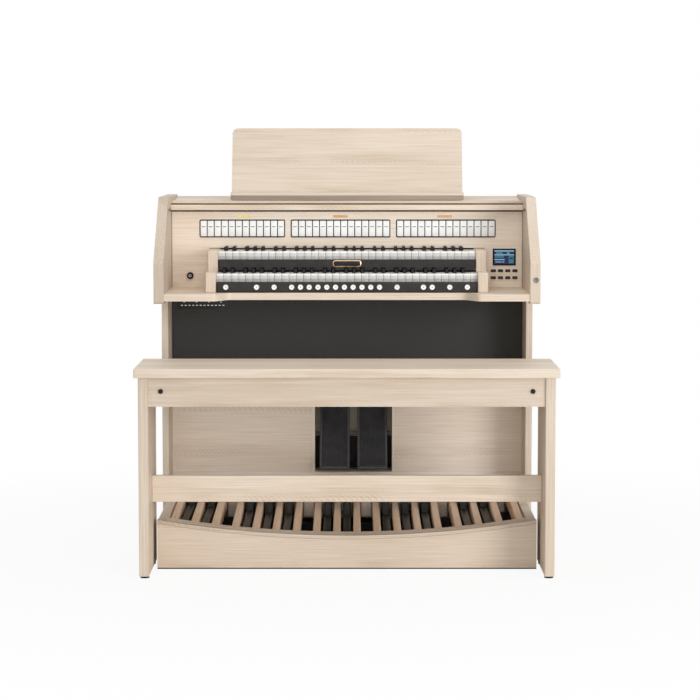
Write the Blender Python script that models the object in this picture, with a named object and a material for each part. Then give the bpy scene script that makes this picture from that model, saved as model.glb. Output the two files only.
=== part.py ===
"""Two-manual electronic organ: console, concave pedalboard and bench.

Units are metres and +Z is up. The player sits on the -Y side. All lengths are
measured in the console's own frame: X from its middle, Y back from the front
edge of the cheeks, Z up from the floor. One empty carries that frame.
"""

import math

import bmesh
import bpy
from mathutils import Matrix, Vector

# Clearance between pieces that touch
FIT = 0.0003

# Case
CONTROL_SPACE = 0.130
CHEEK_THICK = 0.032
CHEEK_KEYBED_LAP = 0.008
CHEEK_FACE_HEIGHT = 0.131
CHEEK_SLANT_RUN = 0.225
CHEEK_HEADROOM = 0.079
CHEEK_ROUND = 0.006
SIDE_THICK = 0.022
SIDE_SETBACK = 0.324
BACK_THICK = 0.018
BACK_FOOT_GAP = 0.020
BOARD_EDGE = 0.0015

# Roof and roll-top
ROOF_THICK = 0.014
ROOF_SINK = 0.006
ROOF_DROP = 0.018
ROOF_OVERHANG = 0.003
SLAT_THICK = 0.008
SLAT_PITCH = 0.022
SLAT_NOTCH = 0.0025
SLAT_PLAY = 0.0018
ROLL_GAP = 0.003
LEAD_RAIL_HEIGHT = 0.019
LEAD_RAIL_DEPTH = 0.018
LEAD_RAIL_GAP = 0.004
GROOVE_DEPTH = 0.006
GROOVE_PLAY = 0.0005
GROOVE_INSET = 0.028
GROOVE_BEND = 0.060
GROOVE_FOOT_RISE = 0.017
GROOVE_REAR_WALL = 0.012
ROLL_REAR_GAP = 0.015

# Fascia and what it carries
FASCIA_SETBACK = 0.365
FASCIA_THICK = 0.018
# Each bank of stop tabs has a name, a number of tabs and the tab that moves on its own
TAB_BANKS = (("left", 12, 4), ("centre", 14, 6), ("right", 14, 9))
TAB_BANK_CENTRE = -0.0218
TAB_BANK_GAP = 0.021
TAB_PITCH = 0.0235
TAB_WIDTH = 0.020
TAB_HEIGHT = 0.052
TAB_THICK = 0.006
TAB_CREST = 0.0015
TAB_KEY_GAP = 0.041
TAB_FRAME_HEIGHT = 0.058
TAB_FRAME_BORDER = 0.001
TAB_FRAME_PROUD = 0.003
TAB_FRAME_ROUND = 0.005
TAB_PROUD = 0.0035
TAB_PLAY = 0.0005
TAB_POCKET_DEPTH = 0.012
DISPLAY_CHEEK_GAP = 0.0226
DISPLAY_RISE = 0.1014
DISPLAY_WIDTH = 0.0768
DISPLAY_HEIGHT = 0.056
DISPLAY_PROUD = 0.002
DISPLAY_RECESS = 0.001
DISPLAY_BORDER = 0.004
MENU_BUTTON_WIDTH = 0.017
MENU_BUTTON_HEIGHT = 0.009
MENU_BUTTON_PITCH = (0.0241, 0.0234)
MENU_BUTTON_COLUMNS = 4
MENU_BUTTON_ROWS = 2
MENU_BUTTON_DROP = 0.0178
MENU_BUTTON_PROUD = 0.003
MENU_BUTTON_ROUND = 0.002
MENU_BUTTON_TRAVEL = 0.0015
PANEL_PLATE_THICK = 0.005
PANEL_PLATE_MARGIN = 0.006
POWER_CHEEK_GAP = 0.0615
POWER_RISE = 0.0392
POWER_DIAMETER = 0.023
POWER_PROUD = 0.007
LOCK_EDGE_GAP = 0.014
LOCK_RISE = 0.045
LOCK_DIAMETER = 0.018
LOCK_PROUD = 0.002
LOCK_LENGTH = 0.030
LOCK_SLOT_LENGTH = 0.009
LOCK_SLOT_WIDTH = 0.0014
LOCK_SLOT_DEPTH = 0.005

# Keybed and manuals
KEYBED_TOP = 0.853
KEYBED_THICK = 0.023
KEYBED_FRONT = 0.075
KEYBED_WING = 0.003
KEYBED_CURVE_OUTER = 0.429
KEYBED_CURVE_INNER = 0.376
KEYBED_CURVE_STEPS = 8

NATURAL_COUNT = 36
NATURAL_PITCH = 0.0235
NATURAL_HEIGHT = 0.026
NATURAL_HEAD = 0.050
KEY_GAP = 0.001
KEY_LENGTH = 0.220
KEY_ROOT = 0.010

SHARP_WIDTH = 0.011
SHARP_RISE = 0.013
SHARP_LENGTH = 0.095
SHARP_SLOPE = 0.008
SHARP_TAIL_DROP = 0.004
SHARP_SIDE_GAP = 0.0012
SHARP_SHIFTS = {0: -0.002, 1: 0.002, 3: -0.003, 4: 0.0, 5: 0.003}
NOTES_PER_OCTAVE = 7
KEY_BAR_DEPTH = 0.016
KEY_BAR_DROP = 0.006
MANUAL_HEIGHT = 0.060
MANUAL_RISE = 0.067
MANUAL_SETBACK = 0.115
LOWER_KEY_FRONT = 0.098
WINDOW_CLEARANCE = 0.003
BLOCK_THICK = 0.034
BLOCK_STEP = 0.004
BLOCK_TAIL = 0.003
KEYSLIP_THICK = 0.014
KEYSLIP_KEY_GAP = 0.004
UPPER_RAIL_THICK = 0.008
UPPER_RAIL_KEY_GAP = 0.002
TRAY_THICK = 0.004
TRAY_CLEARANCE = 0.002
MOVING_NATURAL = 14
MOVING_SHARP = 17
PISTON_DIAMETER = 0.017
PISTON_PITCH = 0.0284
PISTON_CENTRE = -0.0085
PISTON_SLOTS = (-13.5, -10, -8, -6, -5, -4, -3, -2, -1, 0, 1, 2, 3, 4, 6, 9, 10, 12, 14)
MOVING_PISTON = 0
PISTON_HEIGHT = 0.018
PISTON_PROUD = 0.003
PISTON_ROOT = 0.005
PISTON_SHY = 0.003

# Music desk
DESK_WIDTH = 0.775
DESK_LENGTH = 0.2588
DESK_THICK = 0.016
DESK_ROOF_INSET = 0.038
DESK_LEAN = math.radians(21.7)
DESK_CORNER = 0.018
LEDGE_OVERHANG = 0.0015
LEDGE_DEPTH = 0.048
LEDGE_THICK = 0.011
LEDGE_RISE = 0.016
LEDGE_ROUND = 0.004

# Lower case front
GRILLE_SETBACK = 0.480
GRILLE_THICK = 0.012
BAFFLE_THICK = 0.018
KNEE_RECESS_RAIL = 0.025
KNEE_PANEL_BOTTOM = 0.214
KNEE_PANEL_THICK = 0.018
TOE_BOARD_BOTTOM = 0.059
TOE_POST_WIDTH = 0.020
BOTTOM_BOARD_RISE = 0.012
BOTTOM_BOARD_THICK = 0.018
SPEAKER_SPREAD = 0.330
SPEAKER_DIAMETER = 0.200
SPEAKER_HOLE = 0.170
SPEAKER_DEPTH = 0.085
SPEAKER_CONE_DEPTH = 0.030
SPEAKER_RIM_THICK = 0.006
SPEAKER_MAGNET_DIAMETER = 0.090
SPEAKER_MAGNET_DEPTH = 0.030
MODULE_SIZE = (0.360, 0.060, 0.240)
MODULE_BOTTOM = 0.560
INLET_PLACE = (-0.420, 0.120)
INLET_WIDTH = 0.028
INLET_HEIGHT = 0.022
INLET_FLANGE = 0.006
INLET_FLANGE_THICK = 0.002
INLET_DEPTH = 0.024
INLET_SOCKET_DEPTH = 0.014
INLET_WALL = 0.0025
JACK_PANEL_WIDTH = 0.165
JACK_PANEL_HEIGHT = 0.030
JACK_PANEL_THICK = 0.020
JACK_PANEL_SIDE_GAP = 0.047
JACK_PANEL_SETBACK = 0.090
JACK_COUNT = 3
JACK_PITCH = 0.040
JACK_DIAMETER = 0.010
JACK_DEPTH = 0.012

# Expression pedals
RECESS_CENTRE = 0.0217
RECESS_WIDTH = 0.263
RECESS_HEADROOM = 0.0262
RECESS_WALL = 0.012
RECESS_DEPTH = 0.132
RECESS_BACK_GAP = 0.0017
SWELL_WIDTH = 0.102
SWELL_PITCH = 0.1281
SWELL_LENGTH = 0.270
SWELL_THICK = 0.014
SWELL_LEAN = math.radians(60)
SWELL_REACH = 0.055
SWELL_HEEL_RISE = 0.014
SWELL_LIP = 0.010
SWELL_ROUND = 0.005
LUG_WIDTH = 0.012
LUG_RADIUS = 0.012
LUG_INSET = 0.012
LUG_ROOT = 0.002
LUG_STEPS = 6
SHAFT_DIAMETER = 0.012
SHAFT_DROP = 0.016

# Pedalboard
BOARD_PLAY = 0.0005
BOARD_FRONT = -0.200
BOARD_TOE_GAP = 0.010
KICK_THICK = 0.022
KICK_HEIGHT = 0.150
KICK_SAG = 0.050
KICK_FLOOR_GAP = 0.004
BOARD_SIDE_THICK = 0.028
HEEL_DEPTH = 0.115
HEEL_THICK = 0.018
ARC_STEPS = 32
FOOT_SIDE_GAP = 0.0035
FOOT_NATURALS = 18
FOOT_SHARP_STEPS = (0, 1, 3, 4, 5)
FOOT_WIDTH = 0.025
FOOT_END = 0.472
FOOT_TOP_DROP = 0.004
FOOT_RISE = 0.018
FOOT_UNDERSIDE = 0.046
FOOT_TAPER = 0.009
FOOT_TONGUE = 0.010
FOOT_TONGUE_TOP = 0.026
FOOT_ROOT = 0.015
FOOT_ROUND = 0.004
SHARP_FOOT_WIDTH = 0.024
SHARP_FOOT_DROP = 0.008
CAP_FRONT = 0.284

CAP_RISE = 0.044
CAP_SLOPE = 0.030
CAP_ROUND = 0.008
HEEL_BEAM_DEPTH = 0.030
HEEL_BEAM_UNDERSIDE = 0.060
FOOT_TRAVEL = 0.012
STOP_RAIL_PLAY = 0.002
STOP_RAIL_INSET = 0.067
STOP_RAIL_THICK = 0.016
STOP_RAIL_HEIGHT = 0.040

# Bench
SEAT_DEPTH = 0.350
SEAT_THICK = 0.028
SEAT_TOP = 0.651
SEAT_ROUND = 0.004
BENCH_GAP = 0.048
BENCH_BOARD_GAP = 0.0115
LEG_THICK = 0.030
LEG_DEPTH = 0.305
LEG_INSET = 0.012
LEG_SETBACK = 0.020
GLIDE_HEIGHT = 0.008
GLIDE_DIAMETER = 0.024
GLIDE_INSET = 0.030
GLIDE_ROOT = 0.004
APRON_HEIGHT = 0.090
APRON_THICK = 0.018
APRON_SETBACK = 0.008
STRETCHER_BOTTOM = 0.221
STRETCHER_HEIGHT = 0.083
STRETCHER_THICK = 0.018
STRETCHER_SETBACK = 0.128
BOLT_INSET = 0.039
BOLT_DROP = 0.043
BOLT_DIAMETER = 0.015
BOLT_SHANK = 0.006
BOLT_HEAD = 0.004

# Widths that follow from the keys outward
KEYS_HALF = NATURAL_COUNT * NATURAL_PITCH / 2
BLOCK_OUTER = KEYS_HALF + BLOCK_THICK
CHEEK_INNER = BLOCK_OUTER + CONTROL_SPACE
HALF_WIDTH = CHEEK_INNER + CHEEK_THICK
SIDE_INNER = HALF_WIDTH - SIDE_THICK
BOARD_HALF = SIDE_INNER - BOARD_PLAY
BOARD_INNER = BOARD_HALF - BOARD_SIDE_THICK
FOOT_PITCH = (2 * (BOARD_INNER - FOOT_SIDE_GAP) - FOOT_WIDTH) / (FOOT_NATURALS - 1)
LEG_INNER = BOARD_HALF + BENCH_BOARD_GAP
LEG_OUTER = LEG_INNER + LEG_THICK
SEAT_HALF = LEG_OUTER + LEG_INSET
JACK_PANEL_CENTRE = JACK_PANEL_SIDE_GAP + JACK_PANEL_WIDTH / 2 - SIDE_INNER

# Heights that follow from the keybed
KEYBED_BOTTOM = KEYBED_TOP - KEYBED_THICK
LOWER_KEY_TOP = KEYBED_TOP + MANUAL_HEIGHT
UPPER_KEY_TOP = LOWER_KEY_TOP + MANUAL_RISE
WINDOW_TOP = UPPER_KEY_TOP + WINDOW_CLEARANCE
TRAY_BOTTOM = LOWER_KEY_TOP + SHARP_RISE + TRAY_CLEARANCE
TRAY_TOP = TRAY_BOTTOM + TRAY_THICK
TAB_CENTRE_HEIGHT = UPPER_KEY_TOP + TAB_KEY_GAP + TAB_FRAME_HEIGHT / 2
CHEEK_BOTTOM = KEYBED_BOTTOM - CHEEK_KEYBED_LAP
CHEEK_FACE_TOP = CHEEK_BOTTOM + CHEEK_FACE_HEIGHT
CHEEK_TOP = TAB_CENTRE_HEIGHT + TAB_FRAME_HEIGHT / 2 + CHEEK_HEADROOM
ROOF_FRONT_TOP = CHEEK_TOP - ROOF_SINK - ROOF_DROP
SLAT_BOTTOM = ROOF_FRONT_TOP - ROOF_THICK - SLAT_PLAY - SLAT_THICK
FASCIA_TOP = SLAT_BOTTOM - ROLL_GAP
RECESS_FLOOR = KNEE_PANEL_BOTTOM + RECESS_WALL
SWELL_HEEL_HEIGHT = RECESS_FLOOR + SWELL_HEEL_RISE
RECESS_TOP = SWELL_HEEL_HEIGHT + SWELL_LENGTH * math.sin(SWELL_LEAN) + RECESS_HEADROOM
KNEE_PANEL_TOP = RECESS_TOP + KNEE_RECESS_RAIL
SPEAKER_HEIGHT = (KNEE_PANEL_TOP + KEYBED_BOTTOM) / 2
SEAT_BOTTOM = SEAT_TOP - SEAT_THICK

# Depths that follow from the keys, the grille and the bench
UPPER_KEY_FRONT = LOWER_KEY_FRONT + MANUAL_SETBACK
BLOCK_REAR = UPPER_KEY_FRONT + KEY_LENGTH + KEY_BAR_DEPTH + BLOCK_TAIL
KEYSLIP_REAR = LOWER_KEY_FRONT - KEYSLIP_KEY_GAP
KEYSLIP_FRONT = KEYSLIP_REAR - KEYSLIP_THICK
UPPER_RAIL_REAR = UPPER_KEY_FRONT - UPPER_RAIL_KEY_GAP
UPPER_RAIL_FRONT = UPPER_RAIL_REAR - UPPER_RAIL_THICK
KEYBED_REAR = GRILLE_SETBACK + GRILLE_THICK + FIT + BAFFLE_THICK
RECESS_FRONT = GRILLE_SETBACK + KNEE_PANEL_THICK + FIT
BACK_FACE = RECESS_FRONT + RECESS_DEPTH + RECESS_BACK_GAP
CASE_DEPTH = BACK_FACE + BACK_THICK
ROOF_FRONT = FASCIA_SETBACK - ROOF_OVERHANG
FASCIA_BACK = FASCIA_SETBACK + FASCIA_THICK
LEAD_RAIL_REAR = ROOF_FRONT - LEAD_RAIL_GAP
SLAT_COUNT = int((BACK_FACE - ROLL_REAR_GAP - LEAD_RAIL_REAR) / SLAT_PITCH)
DESK_SETBACK = ROOF_FRONT + DESK_ROOF_INSET
BOARD_REAR = GRILLE_SETBACK - BOARD_TOE_GAP
KICK_REAR = BOARD_FRONT + KICK_THICK
HEEL_REAR = BOARD_FRONT + HEEL_DEPTH
SEAT_FRONT = -BENCH_GAP - SEAT_DEPTH
LEG_FRONT = SEAT_FRONT + LEG_SETBACK
FRAME_Y = (BENCH_GAP + SEAT_DEPTH - CASE_DEPTH) / 2

# Places of single pieces, as (x, z) seen from the front
DISPLAY_CENTRE = (CHEEK_INNER - DISPLAY_CHEEK_GAP - DISPLAY_WIDTH / 2, KEYBED_TOP + DISPLAY_RISE)
POWER_PLACE = (POWER_CHEEK_GAP - CHEEK_INNER, KEYBED_TOP + POWER_RISE)
LOCK_PLACE = (HALF_WIDTH - LOCK_EDGE_GAP, KEYBED_TOP + LOCK_RISE)
BOLT_PLACE = (LEG_INNER - BOLT_INSET, SEAT_BOTTOM - BOLT_DROP)
SWELL_HEEL = (GRILLE_SETBACK - SWELL_REACH, SWELL_HEEL_HEIGHT)
SIDES = (("left", -1), ("right", 1))

# Finishes: sRGB colour, roughness, metallic
ASH = ("E0CDB7", 0.5, 0.0)
SHADED_ASH = ("CDBBA6", 0.55, 0.0)
PEDAL_WOOD = ("C0A080", 0.45, 0.0)
WHITE = ("F2F2EF", 0.3, 0.0)
IVORY = ("ECECE8", 0.25, 0.0)
EBONY = ("1B1B1C", 0.35, 0.0)
BLACK = ("3A3A39", 0.5, 0.0)
CLOTH = ("2B2B2A", 0.95, 0.0)
RUBBER = ("2C2C2E", 0.85, 0.0)
STEEL = ("B9BBBD", 0.3, 1.0)


def remove_everything():
    """Empty the scene without closing the file."""
    for item in list(bpy.data.objects):
        bpy.data.objects.remove(item, do_unlink=True)


def make_frame():
    """Add the empty that carries the console's own frame."""
    frame = bpy.data.objects.new("organ_frame", None)
    frame.location = (0, FRAME_Y, 0)
    bpy.context.collection.objects.link(frame)
    return frame


def linear(hex_colour):
    """Turn an sRGB hex colour into the linear values a shader takes."""
    channels = [int(hex_colour[i : i + 2], 16) / 255 for i in (0, 2, 4)]
    return [c / 12.92 if c <= 0.04045 else ((c + 0.055) / 1.055) ** 2.4 for c in channels]


def make_material(name, finish):
    """Return a Principled material of the given colour, roughness and metallic."""
    colour, roughness, metallic = finish
    material = bpy.data.materials.new(name + "_finish")
    material.use_nodes = True
    shader = material.node_tree.nodes["Principled BSDF"]
    shader.inputs["Base Color"].default_value = (*linear(colour), 1)
    shader.inputs["Roughness"].default_value = roughness
    shader.inputs["Metallic"].default_value = metallic
    return material


def add_node(name, mesh, finish, pivot=(0, 0, 0), bevel=0):
    """Add one piece of the organ, with its origin at pivot and its edges eased by bevel."""
    mesh.transform(Matrix.Translation(-Vector(pivot)))
    mesh.shade_smooth()
    mesh.set_sharp_from_angle(angle=math.radians(30))
    mesh.materials.append(make_material(name, finish))
    node = bpy.data.objects.new(name, mesh)
    node.location = pivot
    node.parent = bpy.data.objects["organ_frame"]
    bpy.context.collection.objects.link(node)
    if bevel:
        ease = node.modifiers.new("eased_edges", "BEVEL")
        ease.width = bevel
        ease.segments = 1
        ease.limit_method = "ANGLE"
        ease.angle_limit = math.radians(50)
    return node


def combine(node, mesh, operation):
    """Cut a mesh out of a node or join it on, with a Boolean and a hidden tool object."""
    tool = bpy.data.objects.new(node.name + "_tool", mesh)
    tool.parent = bpy.data.objects["organ_frame"]
    tool.hide_render = True
    tool.display_type = "WIRE"
    bpy.context.collection.objects.link(tool)
    step = node.modifiers.new(operation.lower(), "BOOLEAN")
    step.operation = operation
    step.solver = "EXACT"
    step.object = tool


def cut(node, mesh):
    """Cut a mesh out of a node."""
    combine(node, mesh, "DIFFERENCE")


def join(node, mesh):
    """Join a mesh to a node as one body."""
    combine(node, mesh, "UNION")


def mesh_of(shape):
    """Turn a bmesh into a closed mesh with its faces pointing out."""
    bmesh.ops.recalc_face_normals(shape, faces=shape.faces)
    mesh = bpy.data.meshes.new("shape")
    shape.to_mesh(mesh)
    shape.free()
    return mesh


def prism(outline, axis, low, high):
    """Sweep a flat outline along X, Y or Z from low to high.

    The outline's pairs are (y, z) for X, (x, z) for Y and (x, y) for Z.
    """
    place = {
        "X": lambda pair: (low, pair[0], pair[1]),
        "Y": lambda pair: (pair[0], low, pair[1]),
        "Z": lambda pair: (pair[0], pair[1], low),
    }[axis]
    reach = {"X": (high - low, 0, 0), "Y": (0, high - low, 0), "Z": (0, 0, high - low)}[axis]
    shape = bmesh.new()
    floor = shape.faces.new([shape.verts.new(place(pair)) for pair in outline])
    swept = bmesh.ops.extrude_face_region(shape, geom=[floor], use_keep_orig=True)
    top = [item for item in swept["geom"] if isinstance(item, bmesh.types.BMVert)]
    bmesh.ops.translate(shape, verts=top, vec=reach)
    return mesh_of(shape)


def merged(meshes):
    """Return one mesh that holds several that don't touch."""
    shape = bmesh.new()
    for mesh in meshes:
        shape.from_mesh(mesh)
    return mesh_of(shape)


def turned(profile, centre, steps):
    """Turn an (radius, y) profile about the line along Y through centre, an (x, z) pair."""
    shape = bmesh.new()
    points = [shape.verts.new((centre[0] + radius, y, centre[1])) for radius, y in profile]
    edges = [shape.edges.new(pair) for pair in zip(points, points[1:])]
    bmesh.ops.spin(
        shape,
        geom=points + edges,
        cent=(centre[0], 0, centre[1]),
        axis=(0, 1, 0),
        dvec=(0, 0, 0),
        angle=math.tau,
        steps=steps,
        use_merge=True,
    )
    bmesh.ops.remove_doubles(shape, verts=shape.verts, dist=1e-6)
    return mesh_of(shape)


def rectangle(low_a, high_a, low_b, high_b):
    """Return the four corners of an upright rectangle."""
    return [(low_a, low_b), (high_a, low_b), (high_a, high_b), (low_a, high_b)]


def centred(centre, width, height):
    """Return the four corners of a rectangle about a centre."""
    half_width, half_height = width / 2, height / 2
    return rectangle(
        centre[0] - half_width, centre[0] + half_width, centre[1] - half_height, centre[1] + half_height
    )


def circle(centre, radius, sides):
    """Return the corners of a regular polygon on a circle."""
    turns = [math.tau * (i + 0.5) / sides for i in range(sides)]
    return [(centre[0] + radius * math.cos(t), centre[1] + radius * math.sin(t)) for t in turns]


def corner_arc(before, corner, after, radius, steps):
    """Return the points of the arc that rounds one corner."""
    into = (Vector(before) - Vector(corner)).normalized()
    out = (Vector(after) - Vector(corner)).normalized()
    half_angle = into.angle(out) / 2
    centre = Vector(corner) + (into + out).normalized() * radius / math.sin(half_angle)
    reach = radius / math.tan(half_angle)
    start = Vector(corner) + into * reach - centre
    end = Vector(corner) + out * reach - centre
    sweep = start.angle_signed(end)
    return [
        tuple(centre + Matrix.Rotation(-sweep * i / steps, 2) @ start) for i in range(steps + 1)
    ]


def rounded(outline, radius, corners=None, steps=3):
    """Round the chosen corners of a closed outline, or all of them."""
    chosen = range(len(outline)) if corners is None else corners
    points = []
    for i, corner in enumerate(outline):
        if i in chosen:
            after = outline[(i + 1) % len(outline)]
            points += corner_arc(outline[i - 1], corner, after, radius, steps)
        else:
            points.append(corner)
    return points


def band(path, width):
    """Return the outline of a strip of the given width along an open path."""
    points = [Vector(point) for point in path]
    left, right = [], []
    for i, point in enumerate(points):
        along = (points[min(i + 1, len(points) - 1)] - points[max(i - 1, 0)]).normalized()
        aside = Vector((-along.y, along.x)) * width / 2
        left.append(tuple(point + aside))
        right.append(tuple(point - aside))
    return left + right[::-1]


def roof_top(setback):
    """Return the height of the roof's upper face at a distance back."""
    return ROOF_FRONT_TOP + ROOF_DROP * (setback - ROOF_FRONT) / (CASE_DEPTH - ROOF_FRONT)


def case_panel(bottom, top):
    """Return the (x, z) outline of a panel between the sides that steps in at the cheeks."""
    wide = SIDE_INNER - FIT
    narrow = CHEEK_INNER - FIT
    step = CHEEK_BOTTOM - FIT
    return [
        (-wide, bottom),
        (wide, bottom),
        (wide, step),
        (narrow, step),
        (narrow, top),
        (-narrow, top),
        (-narrow, step),
        (-wide, step),
    ]


def groove_path():
    """Return the (y, z) path of the roll-top's groove, from the rear to the keybed."""
    slant = Vector((CHEEK_SLANT_RUN, CHEEK_TOP - CHEEK_FACE_TOP))
    level = SLAT_BOTTOM + SLAT_THICK / 2
    along = slant.normalized()
    inset = Vector((GROOVE_INSET * along.y, -GROOVE_INSET * along.x))
    slant_foot = Vector((0, CHEEK_FACE_TOP)) + inset
    upper_bend = slant_foot + slant * (level - slant_foot.y) / slant.y
    lower_bend = slant_foot + slant * (GROOVE_INSET - slant_foot.x) / slant.x
    rear = (CASE_DEPTH - GROOVE_REAR_WALL, level)
    foot = (GROOVE_INSET, KEYBED_TOP + GROOVE_FOOT_RISE)
    upper = corner_arc(rear, upper_bend, lower_bend, GROOVE_BEND, 5)
    lower = corner_arc(upper_bend, lower_bend, foot, GROOVE_BEND, 4)
    return [rear, *upper, *lower, foot]


def build_case():
    """Cheeks with roll-top grooves, side panels, back and roof."""
    cheek = [
        (0, CHEEK_BOTTOM),
        (CASE_DEPTH, CHEEK_BOTTOM),
        (CASE_DEPTH, CHEEK_TOP),
        (CHEEK_SLANT_RUN, CHEEK_TOP),
        (0, CHEEK_FACE_TOP),
    ]
    groove = band(groove_path(), SLAT_THICK + 2 * GROOVE_PLAY)
    side = rectangle(SIDE_SETBACK, CASE_DEPTH, 0, CHEEK_BOTTOM - FIT)
    for word, sign in SIDES:
        inner, outer = sorted((sign * CHEEK_INNER, sign * HALF_WIDTH))
        node = add_node(word + "_cheek", prism(rounded(cheek, CHEEK_ROUND), "X", inner, outer), ASH)
        low, high = sorted((sign * (CHEEK_INNER - BOARD_EDGE), sign * (CHEEK_INNER + GROOVE_DEPTH)))
        cut(node, prism(groove, "X", low, high))
        if sign > 0:
            bore = circle(LOCK_PLACE, LOCK_DIAMETER / 2 + FIT, 24)
            cut(node, prism(bore, "Y", -LOCK_PROUD, LOCK_LENGTH - LOCK_PROUD + FIT))
        low, high = sorted((sign * SIDE_INNER, sign * HALF_WIDTH))
        add_node(word + "_case_side", prism(side, "X", low, high), ASH, bevel=BOARD_EDGE)

    narrow = CHEEK_INNER - FIT
    back = case_panel(BACK_FOOT_GAP, roof_top(BACK_FACE) - ROOF_THICK - FIT)
    node = add_node("case_back", prism(back, "Y", BACK_FACE, CASE_DEPTH), SHADED_ASH)
    hole = centred(INLET_PLACE, INLET_WIDTH + 2 * FIT, INLET_HEIGHT + 2 * FIT)
    cut(node, prism(hole, "Y", BACK_FACE - BOARD_EDGE, CASE_DEPTH + BOARD_EDGE))

    roof = [
        (ROOF_FRONT, roof_top(ROOF_FRONT) - ROOF_THICK),
        (CASE_DEPTH, roof_top(CASE_DEPTH) - ROOF_THICK),
        (CASE_DEPTH, roof_top(CASE_DEPTH)),
        (ROOF_FRONT, roof_top(ROOF_FRONT)),
    ]
    add_node("roof_board", prism(roof, "X", -narrow, narrow), ASH, bevel=BOARD_EDGE)


def build_roll_top():
    """The slatted roll-top, pushed back, with its lead rail and the pins in the grooves."""
    top = SLAT_BOTTOM + SLAT_THICK
    crown = [(LEAD_RAIL_REAR, SLAT_BOTTOM)]
    for i in range(SLAT_COUNT):
        start = LEAD_RAIL_REAR + i * SLAT_PITCH
        crown += [
            (start, top - SLAT_NOTCH),
            (start + SLAT_NOTCH, top),
            (start + SLAT_PITCH - SLAT_NOTCH, top),
        ]
    rear = LEAD_RAIL_REAR + SLAT_COUNT * SLAT_PITCH
    crown += [(rear, top - SLAT_NOTCH), (rear, SLAT_BOTTOM)]
    reach = CHEEK_INNER + GROOVE_DEPTH - FIT
    node = add_node("roll_top", prism(crown, "X", -reach, reach), ASH)
    front = LEAD_RAIL_REAR - LEAD_RAIL_DEPTH
    rail = rectangle(front, LEAD_RAIL_REAR + SLAT_NOTCH, SLAT_BOTTOM, SLAT_BOTTOM + LEAD_RAIL_HEIGHT)
    rail_half = CHEEK_INNER - FIT
    join(node, prism(rounded(rail, SLAT_NOTCH), "X", -rail_half, rail_half))
    pin = circle((front + LEAD_RAIL_DEPTH / 2, SLAT_BOTTOM + SLAT_THICK / 2), SLAT_THICK / 2, 12)
    join(node, prism(pin, "X", -reach, reach))


def tab_outline(height_centre, front, rear):
    """Return the (y, z) side view of a stop tab, with its crest across the middle."""
    half = TAB_HEIGHT / 2
    return [
        (front + TAB_CREST, height_centre - half),
        (rear, height_centre - half),
        (rear, height_centre + half),
        (front + TAB_CREST, height_centre + half),
        (front, height_centre),
    ]


def bank_width(count):
    """Return the width of a stop tab bank's bezel."""
    return count * TAB_PITCH + 2 * TAB_FRAME_BORDER


def bank_centres():
    """Return the x of the middle of the left, centre and right banks."""
    left, centre, right = [bank_width(count) for _, count, _ in TAB_BANKS]
    return (
        TAB_BANK_CENTRE - centre / 2 - TAB_BANK_GAP - left / 2,
        TAB_BANK_CENTRE,
        TAB_BANK_CENTRE + centre / 2 + TAB_BANK_GAP + right / 2,
    )


def build_tab_bank(word, centre, count, moving, fascia):
    """One bank of stop tabs in its bezel, with one tab of its own on a hinge."""
    width = bank_width(count)
    frame = centred((centre, TAB_CENTRE_HEIGHT), width, TAB_FRAME_HEIGHT)
    window = centred(
        (centre, TAB_CENTRE_HEIGHT), width + 2 * FIT, TAB_FRAME_HEIGHT + 2 * FIT
    )
    cut(
        fascia,
        prism(
            rounded(window, TAB_FRAME_ROUND), "Y", FASCIA_SETBACK - BOARD_EDGE, FASCIA_BACK + BOARD_EDGE
        ),
    )
    front = FASCIA_SETBACK - TAB_FRAME_PROUD
    node = add_node(
        word + "_tab_bank",
        prism(rounded(frame, TAB_FRAME_ROUND), "Y", front, FASCIA_BACK),
        EBONY,
    )
    face = FASCIA_SETBACK - TAB_PROUD - TAB_CREST
    starts = [
        centre - count * TAB_PITCH / 2 + i * TAB_PITCH + (TAB_PITCH - TAB_WIDTH) / 2
        for i in range(count)
    ]
    fixed = tab_outline(TAB_CENTRE_HEIGHT, face, front + TAB_THICK)
    join(
        node,
        merged([prism(fixed, "X", x, x + TAB_WIDTH) for i, x in enumerate(starts) if i != moving]),
    )
    x = starts[moving]
    pocket = rectangle(
        x - TAB_PLAY,
        x + TAB_WIDTH + TAB_PLAY,
        TAB_CENTRE_HEIGHT - TAB_HEIGHT / 2 - TAB_PLAY,
        TAB_CENTRE_HEIGHT + TAB_HEIGHT / 2 + TAB_PLAY,
    )
    cut(node, prism(pocket, "Y", face, front + TAB_POCKET_DEPTH))
    pivot = (x + TAB_WIDTH / 2, face + TAB_THICK, TAB_CENTRE_HEIGHT + TAB_HEIGHT / 2)
    tab = tab_outline(TAB_CENTRE_HEIGHT, face, face + TAB_THICK)
    add_node(word + "_stop_tab", prism(tab, "X", x, x + TAB_WIDTH), WHITE, pivot)


def menu_button_places():
    """Return the (x, z) centres of the buttons under the display."""
    first_x = DISPLAY_CENTRE[0] + MENU_BUTTON_PITCH[0] * (1 - MENU_BUTTON_COLUMNS) / 2
    first_z = DISPLAY_CENTRE[1] - DISPLAY_HEIGHT / 2 - MENU_BUTTON_DROP
    return [
        (first_x + column * MENU_BUTTON_PITCH[0], first_z - row * MENU_BUTTON_PITCH[1])
        for row in range(MENU_BUTTON_ROWS)
        for column in range(MENU_BUTTON_COLUMNS)
    ]


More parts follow.
